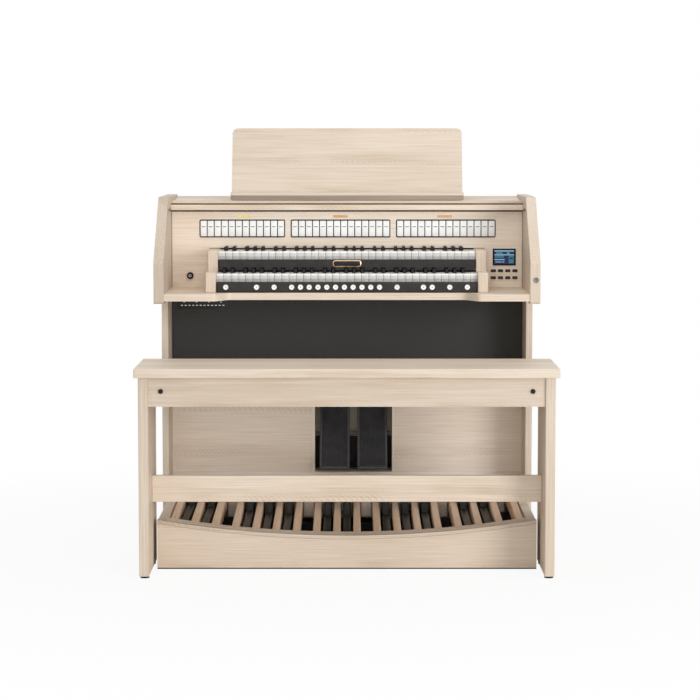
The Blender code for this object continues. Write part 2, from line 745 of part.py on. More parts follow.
def build_controls(fascia):
    """The display with its menu buttons, and the power button and lock."""
    through = (FASCIA_SETBACK - BOARD_EDGE, FASCIA_BACK + BOARD_EDGE)
    places = menu_button_places()
    window = centred(DISPLAY_CENTRE, DISPLAY_WIDTH + 2 * FIT, DISPLAY_HEIGHT + 2 * FIT)
    cut(fascia, prism(window, "Y", *through))
    holes = [
        centred(place, MENU_BUTTON_WIDTH + 2 * FIT, MENU_BUTTON_HEIGHT + 2 * FIT) for place in places
    ]
    cut(fascia, merged([prism(rounded(hole, MENU_BUTTON_ROUND), "Y", *through) for hole in holes]))

    plate_front = FASCIA_BACK + FIT
    margin = PANEL_PLATE_MARGIN
    plate = rectangle(
        places[0][0] - MENU_BUTTON_WIDTH / 2 - margin,
        DISPLAY_CENTRE[0] + DISPLAY_WIDTH / 2 + margin,
        places[-1][1] - MENU_BUTTON_HEIGHT / 2 - margin,
        DISPLAY_CENTRE[1] + DISPLAY_HEIGHT / 2 + margin,
    )
    node = add_node(
        "control_panel", prism(plate, "Y", plate_front, plate_front + PANEL_PLATE_THICK), EBONY
    )
    bosses_rear = plate_front + PANEL_PLATE_THICK / 2
    display_front = FASCIA_SETBACK - DISPLAY_PROUD
    display = centred(DISPLAY_CENTRE, DISPLAY_WIDTH, DISPLAY_HEIGHT)
    join(node, prism(display, "Y", display_front, bosses_rear))
    screen = centred(
        DISPLAY_CENTRE, DISPLAY_WIDTH - 2 * DISPLAY_BORDER, DISPLAY_HEIGHT - 2 * DISPLAY_BORDER
    )
    cut(node, prism(screen, "Y", display_front - DISPLAY_RECESS, display_front + DISPLAY_RECESS))
    button_front = FASCIA_SETBACK - MENU_BUTTON_PROUD
    caps = [
        rounded(centred(place, MENU_BUTTON_WIDTH, MENU_BUTTON_HEIGHT), MENU_BUTTON_ROUND)
        for place in places
    ]
    join(node, merged([prism(cap, "Y", button_front, bosses_rear) for cap in caps[1:]]))
    moving_rear = plate_front - MENU_BUTTON_TRAVEL - FIT
    pivot = (places[0][0], button_front, places[0][1])
    add_node("menu_button", prism(caps[0], "Y", button_front, moving_rear), EBONY, pivot)

    hole = circle(POWER_PLACE, POWER_DIAMETER / 2 + FIT, 24)
    cut(fascia, prism(hole, "Y", *through))
    knob_front = FASCIA_SETBACK - POWER_PROUD
    radius = POWER_DIAMETER / 2
    ease = BOARD_EDGE
    knob = [
        (0, knob_front),
        (radius - ease, knob_front),
        (radius, knob_front + ease),
        (radius, FASCIA_BACK),
        (0, FASCIA_BACK),
    ]
    pivot = (POWER_PLACE[0], knob_front, POWER_PLACE[1])
    add_node("power_button", turned(knob, POWER_PLACE, 24), EBONY, pivot)

    radius = LOCK_DIAMETER / 2
    barrel = [
        (0, -LOCK_PROUD),
        (radius - LOCK_PROUD / 2, -LOCK_PROUD),
        (radius, -LOCK_PROUD / 2),
        (radius, LOCK_LENGTH - LOCK_PROUD),
        (0, LOCK_LENGTH - LOCK_PROUD),
    ]
    pivot = (LOCK_PLACE[0], 0, LOCK_PLACE[1])
    node = add_node("lock_cylinder", turned(barrel, LOCK_PLACE, 24), STEEL, pivot)
    slot = centred(LOCK_PLACE, LOCK_SLOT_WIDTH, LOCK_SLOT_LENGTH)
    cut(node, prism(slot, "Y", -2 * LOCK_PROUD, LOCK_SLOT_DEPTH - LOCK_PROUD))


def build_fascia():
    """The fascia over the manuals, with the stop tabs and the controls in its windows."""
    half = CHEEK_INNER - FIT
    foot = KEYBED_TOP + FIT
    window = BLOCK_OUTER + FIT
    outline = [
        (-half, foot),
        (-window, foot),
        (-window, WINDOW_TOP),
        (window, WINDOW_TOP),
        (window, foot),
        (half, foot),
        (half, FASCIA_TOP),
        (-half, FASCIA_TOP),
    ]
    fascia = add_node("stop_fascia", prism(outline, "Y", FASCIA_SETBACK, FASCIA_BACK), ASH)
    for (word, count, moving), centre in zip(TAB_BANKS, bank_centres()):
        build_tab_bank(word, centre, count, moving, fascia)
    build_controls(fascia)


def build_keybed():
    """The keybed, whose front edge sweeps forward at both ends."""
    half = CHEEK_INNER - FIT
    curve = []
    for i in range(KEYBED_CURVE_STEPS + 1):
        share = i / KEYBED_CURVE_STEPS
        x = KEYBED_CURVE_OUTER + (KEYBED_CURVE_INNER - KEYBED_CURVE_OUTER) * share
        swing = (1 - math.cos(math.pi * share)) / 2
        curve.append((x, KEYBED_WING + (KEYBED_FRONT - KEYBED_WING) * swing))
    right_front = [(half, KEYBED_WING), *curve]
    left_front = [(-x, y) for x, y in right_front]
    outline = [*left_front, *right_front[::-1], (half, KEYBED_REAR), (-half, KEYBED_REAR)]
    add_node("keybed", prism(outline, "Z", KEYBED_BOTTOM, KEYBED_TOP), ASH)


def natural_outline(index, front, rear):
    """Return the (x, y) outline of one natural key, notched for the sharps beside it."""
    left = -KEYS_HALF + index * NATURAL_PITCH
    right = left + NATURAL_PITCH
    note = index % NOTES_PER_OCTAVE
    clear = SHARP_WIDTH / 2 + SHARP_SIDE_GAP
    tail_left = left + KEY_GAP / 2
    tail_right = right - KEY_GAP / 2
    head_left, head_right = tail_left, tail_right
    before = (note - 1) % NOTES_PER_OCTAVE
    if before in SHARP_SHIFTS and index > 0:
        tail_left = left + SHARP_SHIFTS[before] + clear
    if note in SHARP_SHIFTS and index < NATURAL_COUNT - 1:
        tail_right = right + SHARP_SHIFTS[note] - clear
    neck = front + NATURAL_HEAD
    outline = [(head_left, front), (head_right, front)]
    if tail_right != head_right:
        outline += [(head_right, neck), (tail_right, neck)]
    outline += [(tail_right, rear), (tail_left, rear)]
    if tail_left != head_left:
        outline += [(tail_left, neck), (head_left, neck)]
    return outline


def natural_key(index, front, top, rear):
    """Return the mesh of one natural key."""
    return prism(natural_outline(index, front, rear), "Z", top - NATURAL_HEIGHT, top)


def sharp_key(index, front, top, rear):
    """Return the mesh of the sharp key right of a natural: a sloped cap on a lower tail."""
    centre = -KEYS_HALF + (index + 1) * NATURAL_PITCH + SHARP_SHIFTS[index % NOTES_PER_OCTAVE]
    bottom = top - NATURAL_HEIGHT
    start = front + NATURAL_HEAD + KEY_GAP
    end = start + SHARP_LENGTH
    crown = top + SHARP_RISE
    tail = top - SHARP_TAIL_DROP
    outline = [
        (start, bottom),
        (rear, bottom),
        (rear, tail),
        (end, tail),
        (end, crown),
        (start + SHARP_SLOPE, crown),
        (start, top - SHARP_TAIL_DROP),
    ]
    return prism(outline, "X", centre - SHARP_WIDTH / 2, centre + SHARP_WIDTH / 2)


def has_sharp(index):
    """Tell whether a sharp stands right of this natural."""
    return index % NOTES_PER_OCTAVE in SHARP_SHIFTS and index < NATURAL_COUNT - 1


def build_keyset(word, front, top, bed):
    """One manual: the key bar with its fixed keys, and a natural and a sharp on hinges."""
    bar_front = front + KEY_LENGTH
    half = KEYS_HALF - FIT
    bar = rectangle(bar_front, bar_front + KEY_BAR_DEPTH, bed + FIT, top - KEY_BAR_DROP)
    node = add_node(word + "_keyset", prism(bar, "X", -half, half), IVORY)
    root = bar_front + KEY_ROOT
    keys = [natural_key(i, front, top, root) for i in range(NATURAL_COUNT) if i != MOVING_NATURAL]
    keys += [
        sharp_key(i, front, top, root)
        for i in range(NATURAL_COUNT)
        if has_sharp(i) and i != MOVING_SHARP
    ]
    join(node, merged(keys))
    rear = bar_front - FIT
    pivot_height = top - NATURAL_HEIGHT
    natural = natural_key(MOVING_NATURAL, front, top, rear)
    add_node(word + "_natural_key", natural, IVORY, (0, rear, pivot_height))
    sharp = sharp_key(MOVING_SHARP, front, top, rear)
    add_node(word + "_sharp_key", sharp, EBONY, (0, rear, pivot_height))


def build_key_blocks():
    """The stepped end blocks beside both manuals."""
    outline = [
        (KEYSLIP_FRONT + BOARD_EDGE, KEYBED_TOP + FIT),
        (BLOCK_REAR, KEYBED_TOP + FIT),
        (BLOCK_REAR, WINDOW_TOP - FIT),
        (UPPER_RAIL_FRONT + BOARD_EDGE, WINDOW_TOP - FIT),
        (UPPER_RAIL_FRONT + BOARD_EDGE, LOWER_KEY_TOP + BLOCK_STEP),
        (KEYSLIP_FRONT + BOARD_EDGE, LOWER_KEY_TOP + BLOCK_STEP),
    ]
    for word, sign in SIDES:
        low, high = sorted((sign * KEYS_HALF, sign * BLOCK_OUTER))
        add_node(word + "_key_block", prism(outline, "X", low, high), ASH, bevel=BOARD_EDGE)


def build_keyslips():
    """The lower keyslip with its thumb pistons, and the upper rail with its key tray."""
    half = KEYS_HALF - FIT
    top = LOWER_KEY_TOP - NATURAL_HEIGHT
    slip = rectangle(KEYSLIP_FRONT, KEYSLIP_REAR, KEYBED_TOP + FIT, top)
    node = add_node("lower_keyslip", prism(slip, "X", -half, half), BLACK)
    radius = PISTON_DIAMETER / 2
    height = KEYBED_TOP + PISTON_HEIGHT
    places = [(PISTON_CENTRE + slot * PISTON_PITCH, height) for slot in PISTON_SLOTS]
    mover = PISTON_SLOTS.index(MOVING_PISTON)
    face = KEYSLIP_FRONT - PISTON_PROUD
    fixed = [
        prism(circle(place, radius, 16), "Y", face, KEYSLIP_FRONT + PISTON_ROOT)
        for i, place in enumerate(places)
        if i != mover
    ]
    join(node, merged(fixed))
    bore = circle(places[mover], radius + FIT, 16)
    cut(node, prism(bore, "Y", face, KEYSLIP_REAR + BOARD_EDGE))
    pivot = (places[mover][0], face, height)
    piston = prism(circle(places[mover], radius, 16), "Y", face, KEYSLIP_REAR - PISTON_SHY)
    add_node("thumb_piston", piston, WHITE, pivot)

    rail_top = UPPER_KEY_TOP - NATURAL_HEIGHT
    tray_rear = UPPER_KEY_FRONT + KEY_LENGTH + KEY_BAR_DEPTH
    tray = [
        (UPPER_RAIL_FRONT, TRAY_BOTTOM),
        (tray_rear, TRAY_BOTTOM),
        (tray_rear, TRAY_TOP),
        (UPPER_RAIL_REAR, TRAY_TOP),
        (UPPER_RAIL_REAR, rail_top),
        (UPPER_RAIL_FRONT, rail_top),
    ]
    add_node("upper_keyslip", prism(tray, "X", -half, half), BLACK)


def build_manuals():
    """Keybed, keyslips, end blocks and both sets of keys."""
    build_keybed()
    build_key_blocks()
    build_keyslips()
    build_keyset("lower", LOWER_KEY_FRONT, LOWER_KEY_TOP, KEYBED_TOP)
    build_keyset("upper", UPPER_KEY_FRONT, UPPER_KEY_TOP, TRAY_TOP)


def build_music_desk():
    """The music desk's leaning board and its ledge."""
    rear_run = DESK_THICK * math.cos(DESK_LEAN)
    rear_drop = DESK_THICK * math.sin(DESK_LEAN)
    foot = roof_top(DESK_SETBACK + rear_run) + rear_drop + FIT
    outline = rectangle(-DESK_WIDTH / 2, DESK_WIDTH / 2, 0, DESK_LENGTH)
    board = add_node("desk_board", prism(rounded(outline, DESK_CORNER), "Y", 0, DESK_THICK), ASH)
    board.location = (0, DESK_SETBACK, foot)
    board.rotation_euler = (-DESK_LEAN, 0, 0)

    slope = math.tan(DESK_LEAN)
    underside = foot + LEDGE_RISE
    rear_low = DESK_SETBACK + LEDGE_RISE * slope - FIT / math.cos(DESK_LEAN)
    front = rear_low - LEDGE_DEPTH
    ledge = [
        (front, underside),
        (rear_low, underside),
        (rear_low + LEDGE_THICK * slope, underside + LEDGE_THICK),
        (front, underside + LEDGE_THICK),
    ]
    ledge_half = DESK_WIDTH / 2 + LEDGE_OVERHANG
    mesh = prism(rounded(ledge, LEDGE_ROUND, corners=(0, 3)), "X", -ledge_half, ledge_half)
    add_node("desk_ledge", mesh, ASH, (0, DESK_SETBACK, foot))


def build_lower_front():
    """Speaker grille, baffle and speakers, knee panel, toe board and jack panel."""
    half = SIDE_INNER - FIT
    grille_back = GRILLE_SETBACK + GRILLE_THICK
    baffle_front = grille_back + FIT
    baffle_back = baffle_front + BAFFLE_THICK
    panel = case_panel(KNEE_PANEL_TOP + FIT, KEYBED_BOTTOM - FIT)
    add_node("speaker_grille", prism(panel, "Y", GRILLE_SETBACK, grille_back), CLOTH)
    baffle = add_node("speaker_baffle", prism(panel, "Y", baffle_front, baffle_back), BLACK)
    for word, sign in SIDES:
        centre = (sign * SPEAKER_SPREAD, SPEAKER_HEIGHT)
        hole = circle(centre, SPEAKER_HOLE / 2, 24)
        cut(baffle, prism(hole, "Y", baffle_front - BOARD_EDGE, baffle_back + BOARD_EDGE))
        build_speaker(word + "_speaker", centre, baffle_back + FIT)

    window = RECESS_WIDTH / 2
    left, right = RECESS_CENTRE - window, RECESS_CENTRE + window
    knee = [
        (-half, KNEE_PANEL_BOTTOM),
        (left, KNEE_PANEL_BOTTOM),
        (left, RECESS_TOP),
        (right, RECESS_TOP),
        (right, KNEE_PANEL_BOTTOM),
        (half, KNEE_PANEL_BOTTOM),
        (half, KNEE_PANEL_TOP),
        (-half, KNEE_PANEL_TOP),
    ]
    panel_back = GRILLE_SETBACK + KNEE_PANEL_THICK
    add_node("knee_panel", prism(knee, "Y", GRILLE_SETBACK, panel_back), ASH)
    post = half - TOE_POST_WIDTH
    toe = [
        (-half, BOTTOM_BOARD_RISE),
        (-post, BOTTOM_BOARD_RISE),
        (-post, TOE_BOARD_BOTTOM),
        (post, TOE_BOARD_BOTTOM),
        (post, BOTTOM_BOARD_RISE),
        (half, BOTTOM_BOARD_RISE),
        (half, KNEE_PANEL_BOTTOM - FIT),
        (-half, KNEE_PANEL_BOTTOM - FIT),
    ]
    toe_board = add_node("toe_board", prism(toe, "Y", GRILLE_SETBACK, panel_back), SHADED_ASH)
    bottom = rectangle(-half, half, BOTTOM_BOARD_RISE, BOTTOM_BOARD_RISE + BOTTOM_BOARD_THICK)
    join(toe_board, prism(bottom, "Y", panel_back - BOARD_EDGE, BACK_FACE - FIT))

    plate = rectangle(
        JACK_PANEL_CENTRE - JACK_PANEL_WIDTH / 2,
        JACK_PANEL_CENTRE + JACK_PANEL_WIDTH / 2,
        KEYBED_BOTTOM - FIT - JACK_PANEL_HEIGHT,
        KEYBED_BOTTOM - FIT,
    )
    rear = JACK_PANEL_SETBACK + JACK_PANEL_THICK
    jacks = add_node("jack_panel", prism(plate, "Y", JACK_PANEL_SETBACK, rear), BLACK, bevel=BOARD_EDGE)
    holes = []
    for i in range(JACK_COUNT):
        x = JACK_PANEL_CENTRE + (i - (JACK_COUNT - 1) / 2) * JACK_PITCH
        z = KEYBED_BOTTOM - FIT - JACK_PANEL_HEIGHT / 2
        hole = circle((x, z), JACK_DIAMETER / 2, 12)
        holes.append(prism(hole, "Y", JACK_PANEL_SETBACK - BOARD_EDGE, JACK_PANEL_SETBACK + JACK_DEPTH))
    cut(jacks, merged(holes))


def build_speaker(name, centre, front):
    """One loudspeaker: cone, rim, basket and magnet turned in one profile."""
    rim = SPEAKER_DIAMETER / 2
    magnet = SPEAKER_MAGNET_DIAMETER / 2
    back = front + SPEAKER_DEPTH
    profile = [
        (0, front + SPEAKER_CONE_DEPTH),
        (magnet / 2, front + SPEAKER_CONE_DEPTH),
        (SPEAKER_HOLE / 2, front + SPEAKER_RIM_THICK / 2),
        (SPEAKER_HOLE / 2, front),
        (rim, front),
        (rim, front + SPEAKER_RIM_THICK),
        (magnet, back - SPEAKER_MAGNET_DEPTH),
        (magnet, back),
        (0, back),
    ]
    add_node(name, turned(profile, centre, 24), BLACK)


def build_back_fittings():
    """The sound module on the back panel and the mains inlet in its window."""
    width, depth, height = MODULE_SIZE
    rear = BACK_FACE - FIT
    module = rectangle(-width / 2, width / 2, MODULE_BOTTOM, MODULE_BOTTOM + height)
    add_node("sound_module", prism(module, "Y", rear - depth, rear), STEEL, bevel=BOARD_EDGE)

    body = centred(INLET_PLACE, INLET_WIDTH, INLET_HEIGHT)
    inlet = add_node("mains_inlet", prism(body, "Y", CASE_DEPTH - INLET_DEPTH, CASE_DEPTH), EBONY)
    plate = centred(INLET_PLACE, INLET_WIDTH + 2 * INLET_FLANGE, INLET_HEIGHT + 2 * INLET_FLANGE)
    join(inlet, prism(plate, "Y", BACK_FACE - INLET_FLANGE_THICK - FIT, BACK_FACE - FIT))
    socket = centred(INLET_PLACE, INLET_WIDTH - 2 * INLET_WALL, INLET_HEIGHT - 2 * INLET_WALL)
    cut(inlet, prism(socket, "Y", CASE_DEPTH - INLET_SOCKET_DEPTH, CASE_DEPTH + BOARD_EDGE))


def swell_point(along, out):
    """Return the (y, z) of a point along a swell pedal's face and out from it."""
    direction = Vector((math.cos(SWELL_LEAN), math.sin(SWELL_LEAN)))
    normal = Vector((-direction.y, direction.x))
    return tuple(Vector(SWELL_HEEL) + direction * along + normal * out)


def build_expression():
    """The recess box, the shaft through it and the two swell pedals on the shaft."""
    front = RECESS_FRONT
    half = RECESS_WIDTH / 2
    left, right = RECESS_CENTRE - half, RECESS_CENTRE + half
    shell = rectangle(
        left - RECESS_WALL, right + RECESS_WALL, KNEE_PANEL_BOTTOM, RECESS_TOP + RECESS_WALL
    )
    box = add_node("expression_box", prism(shell, "Y", front, front + RECESS_DEPTH), BLACK)
    inside = rectangle(left, right, RECESS_FLOOR, RECESS_TOP)
    cut(box, prism(inside, "Y", front - BOARD_EDGE, front + RECESS_DEPTH - RECESS_WALL))

    shaft_out = -SWELL_THICK - SHAFT_DROP
    shaft = swell_point(SWELL_LENGTH / 2, shaft_out)
    rod = circle(shaft, SHAFT_DIAMETER / 2, 16)
    add_node("expression_shaft", prism(rod, "X", left + FIT, right - FIT), STEEL)

    plate = [
        swell_point(0, SWELL_LIP),
        swell_point(0, -SWELL_THICK),
        swell_point(SWELL_LENGTH, -SWELL_THICK),
        swell_point(SWELL_LENGTH, 0),
        swell_point(SWELL_LIP, 0),
        swell_point(SWELL_LIP / 2, SWELL_LIP),
    ]
    plate = rounded(plate, SWELL_ROUND, corners=(2, 3))
    root = shaft_out + SHAFT_DROP + LUG_ROOT
    middle = SWELL_LENGTH / 2
    lug = [swell_point(middle - LUG_RADIUS, root), swell_point(middle + LUG_RADIUS, root)]
    for i in range(LUG_STEPS + 1):
        turn = math.pi * i / LUG_STEPS
        along = middle + LUG_RADIUS * math.cos(turn)
        lug.append(swell_point(along, shaft_out - LUG_RADIUS * math.sin(turn)))
    bore = circle(shaft, SHAFT_DIAMETER / 2 + FIT, 16)
    for word, sign in SIDES:
        centre = RECESS_CENTRE + sign * SWELL_PITCH / 2
        low, high = centre - SWELL_WIDTH / 2, centre + SWELL_WIDTH / 2
        pivot = (centre, *shaft)
        node = add_node(word + "_swell_pedal", prism(plate, "X", low, high), RUBBER, pivot)
        lugs = [
            prism(lug, "X", low + LUG_INSET, low + LUG_INSET + LUG_WIDTH),
            prism(lug, "X", high - LUG_INSET - LUG_WIDTH, high - LUG_INSET),
        ]
        join(node, merged(lugs))
        cut(node, prism(bore, "X", low, high))


def arc_height(x):
    """Return the height of the pedalboard's hollow curve at a distance from the middle."""
    radius = (BOARD_HALF**2 + KICK_SAG**2) / (2 * KICK_SAG)
    return KICK_HEIGHT - KICK_SAG + radius - math.sqrt(radius**2 - x**2)


def arc_band(half, above, below):
    """Return the (x, z) outline between two curves that follow the pedalboard's hollow."""
    places = [half * (2 * i / ARC_STEPS - 1) for i in range(ARC_STEPS + 1)]
    lower = [(x, arc_height(x) - below) for x in places]
    upper = [(x, arc_height(x) - above) for x in reversed(places)]
    return lower + upper


def foot_outline(base, start, is_sharp):
    """Return the (y, z) side view of a foot pedal whose curve stands at the height base."""
    step = HEEL_REAR + FIT
    underside = base - FOOT_UNDERSIDE
    tongue = base - FOOT_TONGUE_TOP
    outline = [(start, underside), (FOOT_END, underside + FOOT_TAPER)]
    if is_sharp:
        lever = base - SHARP_FOOT_DROP
        cap = [
            (FOOT_END, lever + CAP_RISE),
            (CAP_FRONT + CAP_SLOPE, lever + CAP_RISE),
        ]
        outline += corner_arc(outline[-1], cap[0], cap[1], CAP_ROUND, 3)
        outline += corner_arc(cap[0], cap[1], (CAP_FRONT, lever), CAP_ROUND, 3)
        outline += [(CAP_FRONT, lever), (step, lever)]
    else:
        heel = (step, base - FOOT_TOP_DROP)
        toe = (FOOT_END, base - FOOT_TOP_DROP + FOOT_RISE)
        outline += corner_arc(outline[-1], toe, heel, FOOT_ROUND, 3)
        outline += corner_arc(toe, heel, (step, tongue), FOOT_ROUND, 3)
    return outline + [(step, tongue), (start, tongue)]


def foot_pedal(step, start, is_sharp):
    """Return the mesh of one foot pedal, and its underside's height.

    A natural's step counts from the lowest note; a sharp lies right of its step.
    """
    x = (step - (FOOT_NATURALS - 1) / 2) * FOOT_PITCH
    width = FOOT_WIDTH
    if is_sharp:
        x += FOOT_PITCH / 2
        width = SHARP_FOOT_WIDTH
    base = arc_height(x)
    mesh = prism(foot_outline(base, start, is_sharp), "X", x - width / 2, x + width / 2)
    return mesh, (x, start, base - FOOT_UNDERSIDE)


def build_pedalboard():
    """The concave pedalboard: frame, heel beam with the fixed pedals, and two on hinges."""
    kick = rectangle(-BOARD_HALF, BOARD_HALF, KICK_FLOOR_GAP, KICK_HEIGHT)[:2]
    kick += arc_band(BOARD_HALF, 0, 0)[ARC_STEPS + 1 :]
    add_node("kick_board", prism(kick, "Y", BOARD_FRONT, KICK_REAR), ASH)
    half = BOARD_INNER - FIT
    rail = arc_band(half, 0, HEEL_THICK)
    add_node("heel_rail", prism(rail, "Y", KICK_REAR + FIT, HEEL_REAR), ASH)
    side = rectangle(KICK_REAR + FIT, BOARD_REAR, 0, KICK_HEIGHT)
    side = rounded(side, CHEEK_ROUND, corners=(2,))
    for word, sign in SIDES:
        low, high = sorted((sign * BOARD_INNER, sign * BOARD_HALF))
        add_node(word + "_pedalboard_side", prism(side, "X", low, high), ASH)

    beam_rear = HEEL_REAR - FOOT_TONGUE
    beam = arc_band(half, HEEL_THICK + FIT, HEEL_BEAM_UNDERSIDE)
    node = add_node("pedal_set", prism(beam, "Y", beam_rear - HEEL_BEAM_DEPTH, beam_rear), PEDAL_WOOD)
    root = beam_rear - FOOT_ROOT
    fixed = [foot_pedal(step, root, False)[0] for step in range(1, FOOT_NATURALS)]
    fixed += [
        foot_pedal(step, root, True)[0]
        for step in range(1, FOOT_NATURALS - 1)
        if step % NOTES_PER_OCTAVE in FOOT_SHARP_STEPS
    ]
    join(node, merged(fixed))
    start = beam_rear + FIT
    natural, pivot = foot_pedal(0, start, False)
    add_node("low_c_pedal", natural, PEDAL_WOOD, pivot)
    sharp, pivot = foot_pedal(0, start, True)
    add_node("low_c_sharp_pedal", sharp, EBONY, pivot)

    stop_front = FOOT_END - STOP_RAIL_INSET - STOP_RAIL_THICK
    taper = FOOT_TAPER * (stop_front - start) / (FOOT_END - start)
    drop = FOOT_UNDERSIDE - taper + FOOT_TRAVEL + STOP_RAIL_PLAY
    stop = arc_band(half, drop, drop + STOP_RAIL_HEIGHT)
    add_node("pedal_stop_rail", prism(stop, "Y", stop_front, stop_front + STOP_RAIL_THICK), SHADED_ASH)


def build_bench():
    """The bench: seat, two legs on glides, apron with its bolts, and stretcher."""
    half = SEAT_HALF
    seat = rounded(rectangle(-half, half, SEAT_FRONT, -BENCH_GAP), SEAT_ROUND)
    add_node("bench_seat", prism(seat, "Z", SEAT_BOTTOM, SEAT_TOP), ASH, bevel=BOARD_EDGE)
    leg_rear = LEG_FRONT + LEG_DEPTH
    leg = rectangle(LEG_FRONT, leg_rear, GLIDE_HEIGHT, SEAT_BOTTOM - FIT)
    for word, sign in SIDES:
        low, high = sorted((sign * LEG_INNER, sign * LEG_OUTER))
        name = word + "_bench_leg"
        node = add_node(name, prism(leg, "X", low, high), ASH, bevel=BOARD_EDGE)
        glides = [
            prism(circle(((low + high) / 2, y), GLIDE_DIAMETER / 2, 12), "Z", 0, GLIDE_HEIGHT + GLIDE_ROOT)
            for y in (LEG_FRONT + GLIDE_INSET, leg_rear - GLIDE_INSET)
        ]
        join(node, merged(glides))

    reach = LEG_INNER - FIT
    apron = rectangle(-reach, reach, SEAT_BOTTOM - APRON_HEIGHT, SEAT_BOTTOM - FIT)
    front = LEG_FRONT + APRON_SETBACK
    node = add_node("bench_apron", prism(apron, "Y", front, front + APRON_THICK), ASH)
    stretcher = rectangle(-reach, reach, STRETCHER_BOTTOM, STRETCHER_BOTTOM + STRETCHER_HEIGHT)
    back = LEG_FRONT + STRETCHER_SETBACK
    mesh = prism(stretcher, "Y", back, back + STRETCHER_THICK)
    add_node("bench_stretcher", mesh, ASH, bevel=BOARD_EDGE)
    for word, sign in SIDES:
        centre = (sign * BOLT_PLACE[0], BOLT_PLACE[1])
        hole = circle(centre, BOLT_SHANK / 2 + FIT, 12)
        cut(node, prism(hole, "Y", front - BOARD_EDGE, front + APRON_THICK + BOARD_EDGE))
        head = BOLT_DIAMETER / 2
        face = front - FIT - BOLT_HEAD
        profile = [
            (0, face),
            (head / 2, face),
            (head, face + BOLT_HEAD / 2),
            (head, front - FIT),
            (BOLT_SHANK / 2, front - FIT),
            (BOLT_SHANK / 2, front + APRON_THICK),
            (0, front + APRON_THICK),
        ]
        add_node(word + "_bench_bolt", turned(profile, centre, 16), STEEL)


def main():
    """Build the whole organ."""
    remove_everything()
    make_frame()
    build_case()
    build_roll_top()
    build_fascia()
    build_manuals()
    build_music_desk()
    build_lower_front()
    build_back_fittings()
    build_expression()
    build_pedalboard()
    build_bench()


main()
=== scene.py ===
"""The looks of a two-manual electronic organ with its pedalboard and bench.

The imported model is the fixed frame. Lengths are metres in that frame: X to the player's
right, Y away from the player and Z up from the floor.
"""

import logging
import math
from collections.abc import Callable, Iterator
from contextlib import contextmanager
from dataclasses import dataclass
from enum import Enum
from typing import Any

import bmesh
import bpy
from mathutils import Matrix, Vector


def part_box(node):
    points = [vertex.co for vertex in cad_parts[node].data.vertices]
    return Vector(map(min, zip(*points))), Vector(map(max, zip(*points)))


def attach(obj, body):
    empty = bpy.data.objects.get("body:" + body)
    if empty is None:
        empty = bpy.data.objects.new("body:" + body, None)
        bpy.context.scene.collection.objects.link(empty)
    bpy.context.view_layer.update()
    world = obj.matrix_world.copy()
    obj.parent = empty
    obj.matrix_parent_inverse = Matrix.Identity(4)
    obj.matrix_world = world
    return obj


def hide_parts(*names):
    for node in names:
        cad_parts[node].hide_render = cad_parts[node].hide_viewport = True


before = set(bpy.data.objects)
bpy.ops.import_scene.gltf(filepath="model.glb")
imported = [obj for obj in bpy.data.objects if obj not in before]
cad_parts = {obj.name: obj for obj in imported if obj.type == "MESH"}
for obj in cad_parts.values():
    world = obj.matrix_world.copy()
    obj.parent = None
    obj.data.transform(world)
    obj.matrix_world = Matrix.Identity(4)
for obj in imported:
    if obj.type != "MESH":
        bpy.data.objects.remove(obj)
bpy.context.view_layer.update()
LOG = logging.getLogger("organ")

Piece = bpy.types.Object
Place = tuple[float, float, float]

# Hair's breadth by which thin trim stands off what it lies on
SKIN = 0.0002


class Grain(Enum):
    """The way that a board's grain runs."""

    ACROSS = "across"
    BACK = "back"
    UP = "up"

    def axis(self) -> int:
        """Give the number of the axis that the grain runs along."""
        return list(Grain).index(self)


def linear(hex_colour: str) -> tuple[float, float, float, float]:
    """Turn an sRGB hex colour into the linear colour that a shader takes.

    Args:
        hex_colour: Six hex digits, such as "E0CDB7".

    Returns:
        Red, green, blue and an alpha of 1.
    """
    channels = [int(hex_colour[i : i + 2], 16) / 255 for i in (0, 2, 4)]
    red, green, blue = [c / 12.92 if c <= 0.04045 else ((c + 0.055) / 1.055) ** 2.4 for c in channels]
    return (red, green, blue, 1.0)


def pick(*pieces: Piece) -> None:
    """Select these pieces alone and make the first one active."""
    bpy.ops.object.select_all(action="DESELECT")
    for piece in pieces:
        piece.select_set(True)
    bpy.context.view_layer.objects.active = pieces[0]


def settled(name: str) -> Piece:
    """Name the object just added and move its place into its mesh.

    Args:
        name: The name that the piece gets.

    Returns:
        The piece, at the origin, unturned and unscaled.
    """
    piece = bpy.context.object
    piece.name = name
    pick(piece)
    bpy.ops.object.transform_apply(location=True, rotation=True, scale=True)
    return piece


def add_block(name: str, low: Place, high: Place) -> Piece:
    """Add a block between two corners.

    Args:
        name: The piece's name.
        low: Its lowest corner.
        high: Its highest corner.

    Returns:
        The block, with its place in its mesh.
    """
    middle = [(a + b) / 2 for a, b in zip(low, high)]
    size = [b - a for a, b in zip(low, high)]
    bpy.ops.object.select_all(action="DESELECT")
    bpy.ops.mesh.primitive_cube_add(size=1, location=middle, scale=size)
    return settled(name)


def add_disc(name: str, centre: tuple[float, float], radius: float, front: float, rear: float,
             sides: int = 32) -> Piece:
    """Add a short rod that lies along Y.

    Args:
        name: The piece's name.
        centre: The x and z of its axis.
        radius: Its radius.
        front: The y of its front face.
        rear: The y of its rear face.
        sides: How many sides it has.

    Returns:
        The rod, with its place in its mesh.
    """
    bpy.ops.object.select_all(action="DESELECT")
    bpy.ops.mesh.primitive_cylinder_add(
        vertices=sides,
        radius=radius,
        depth=rear - front,
        location=(centre[0], (front + rear) / 2, centre[1]),
        rotation=(math.pi / 2, 0, 0),
    )
    return settled(name)


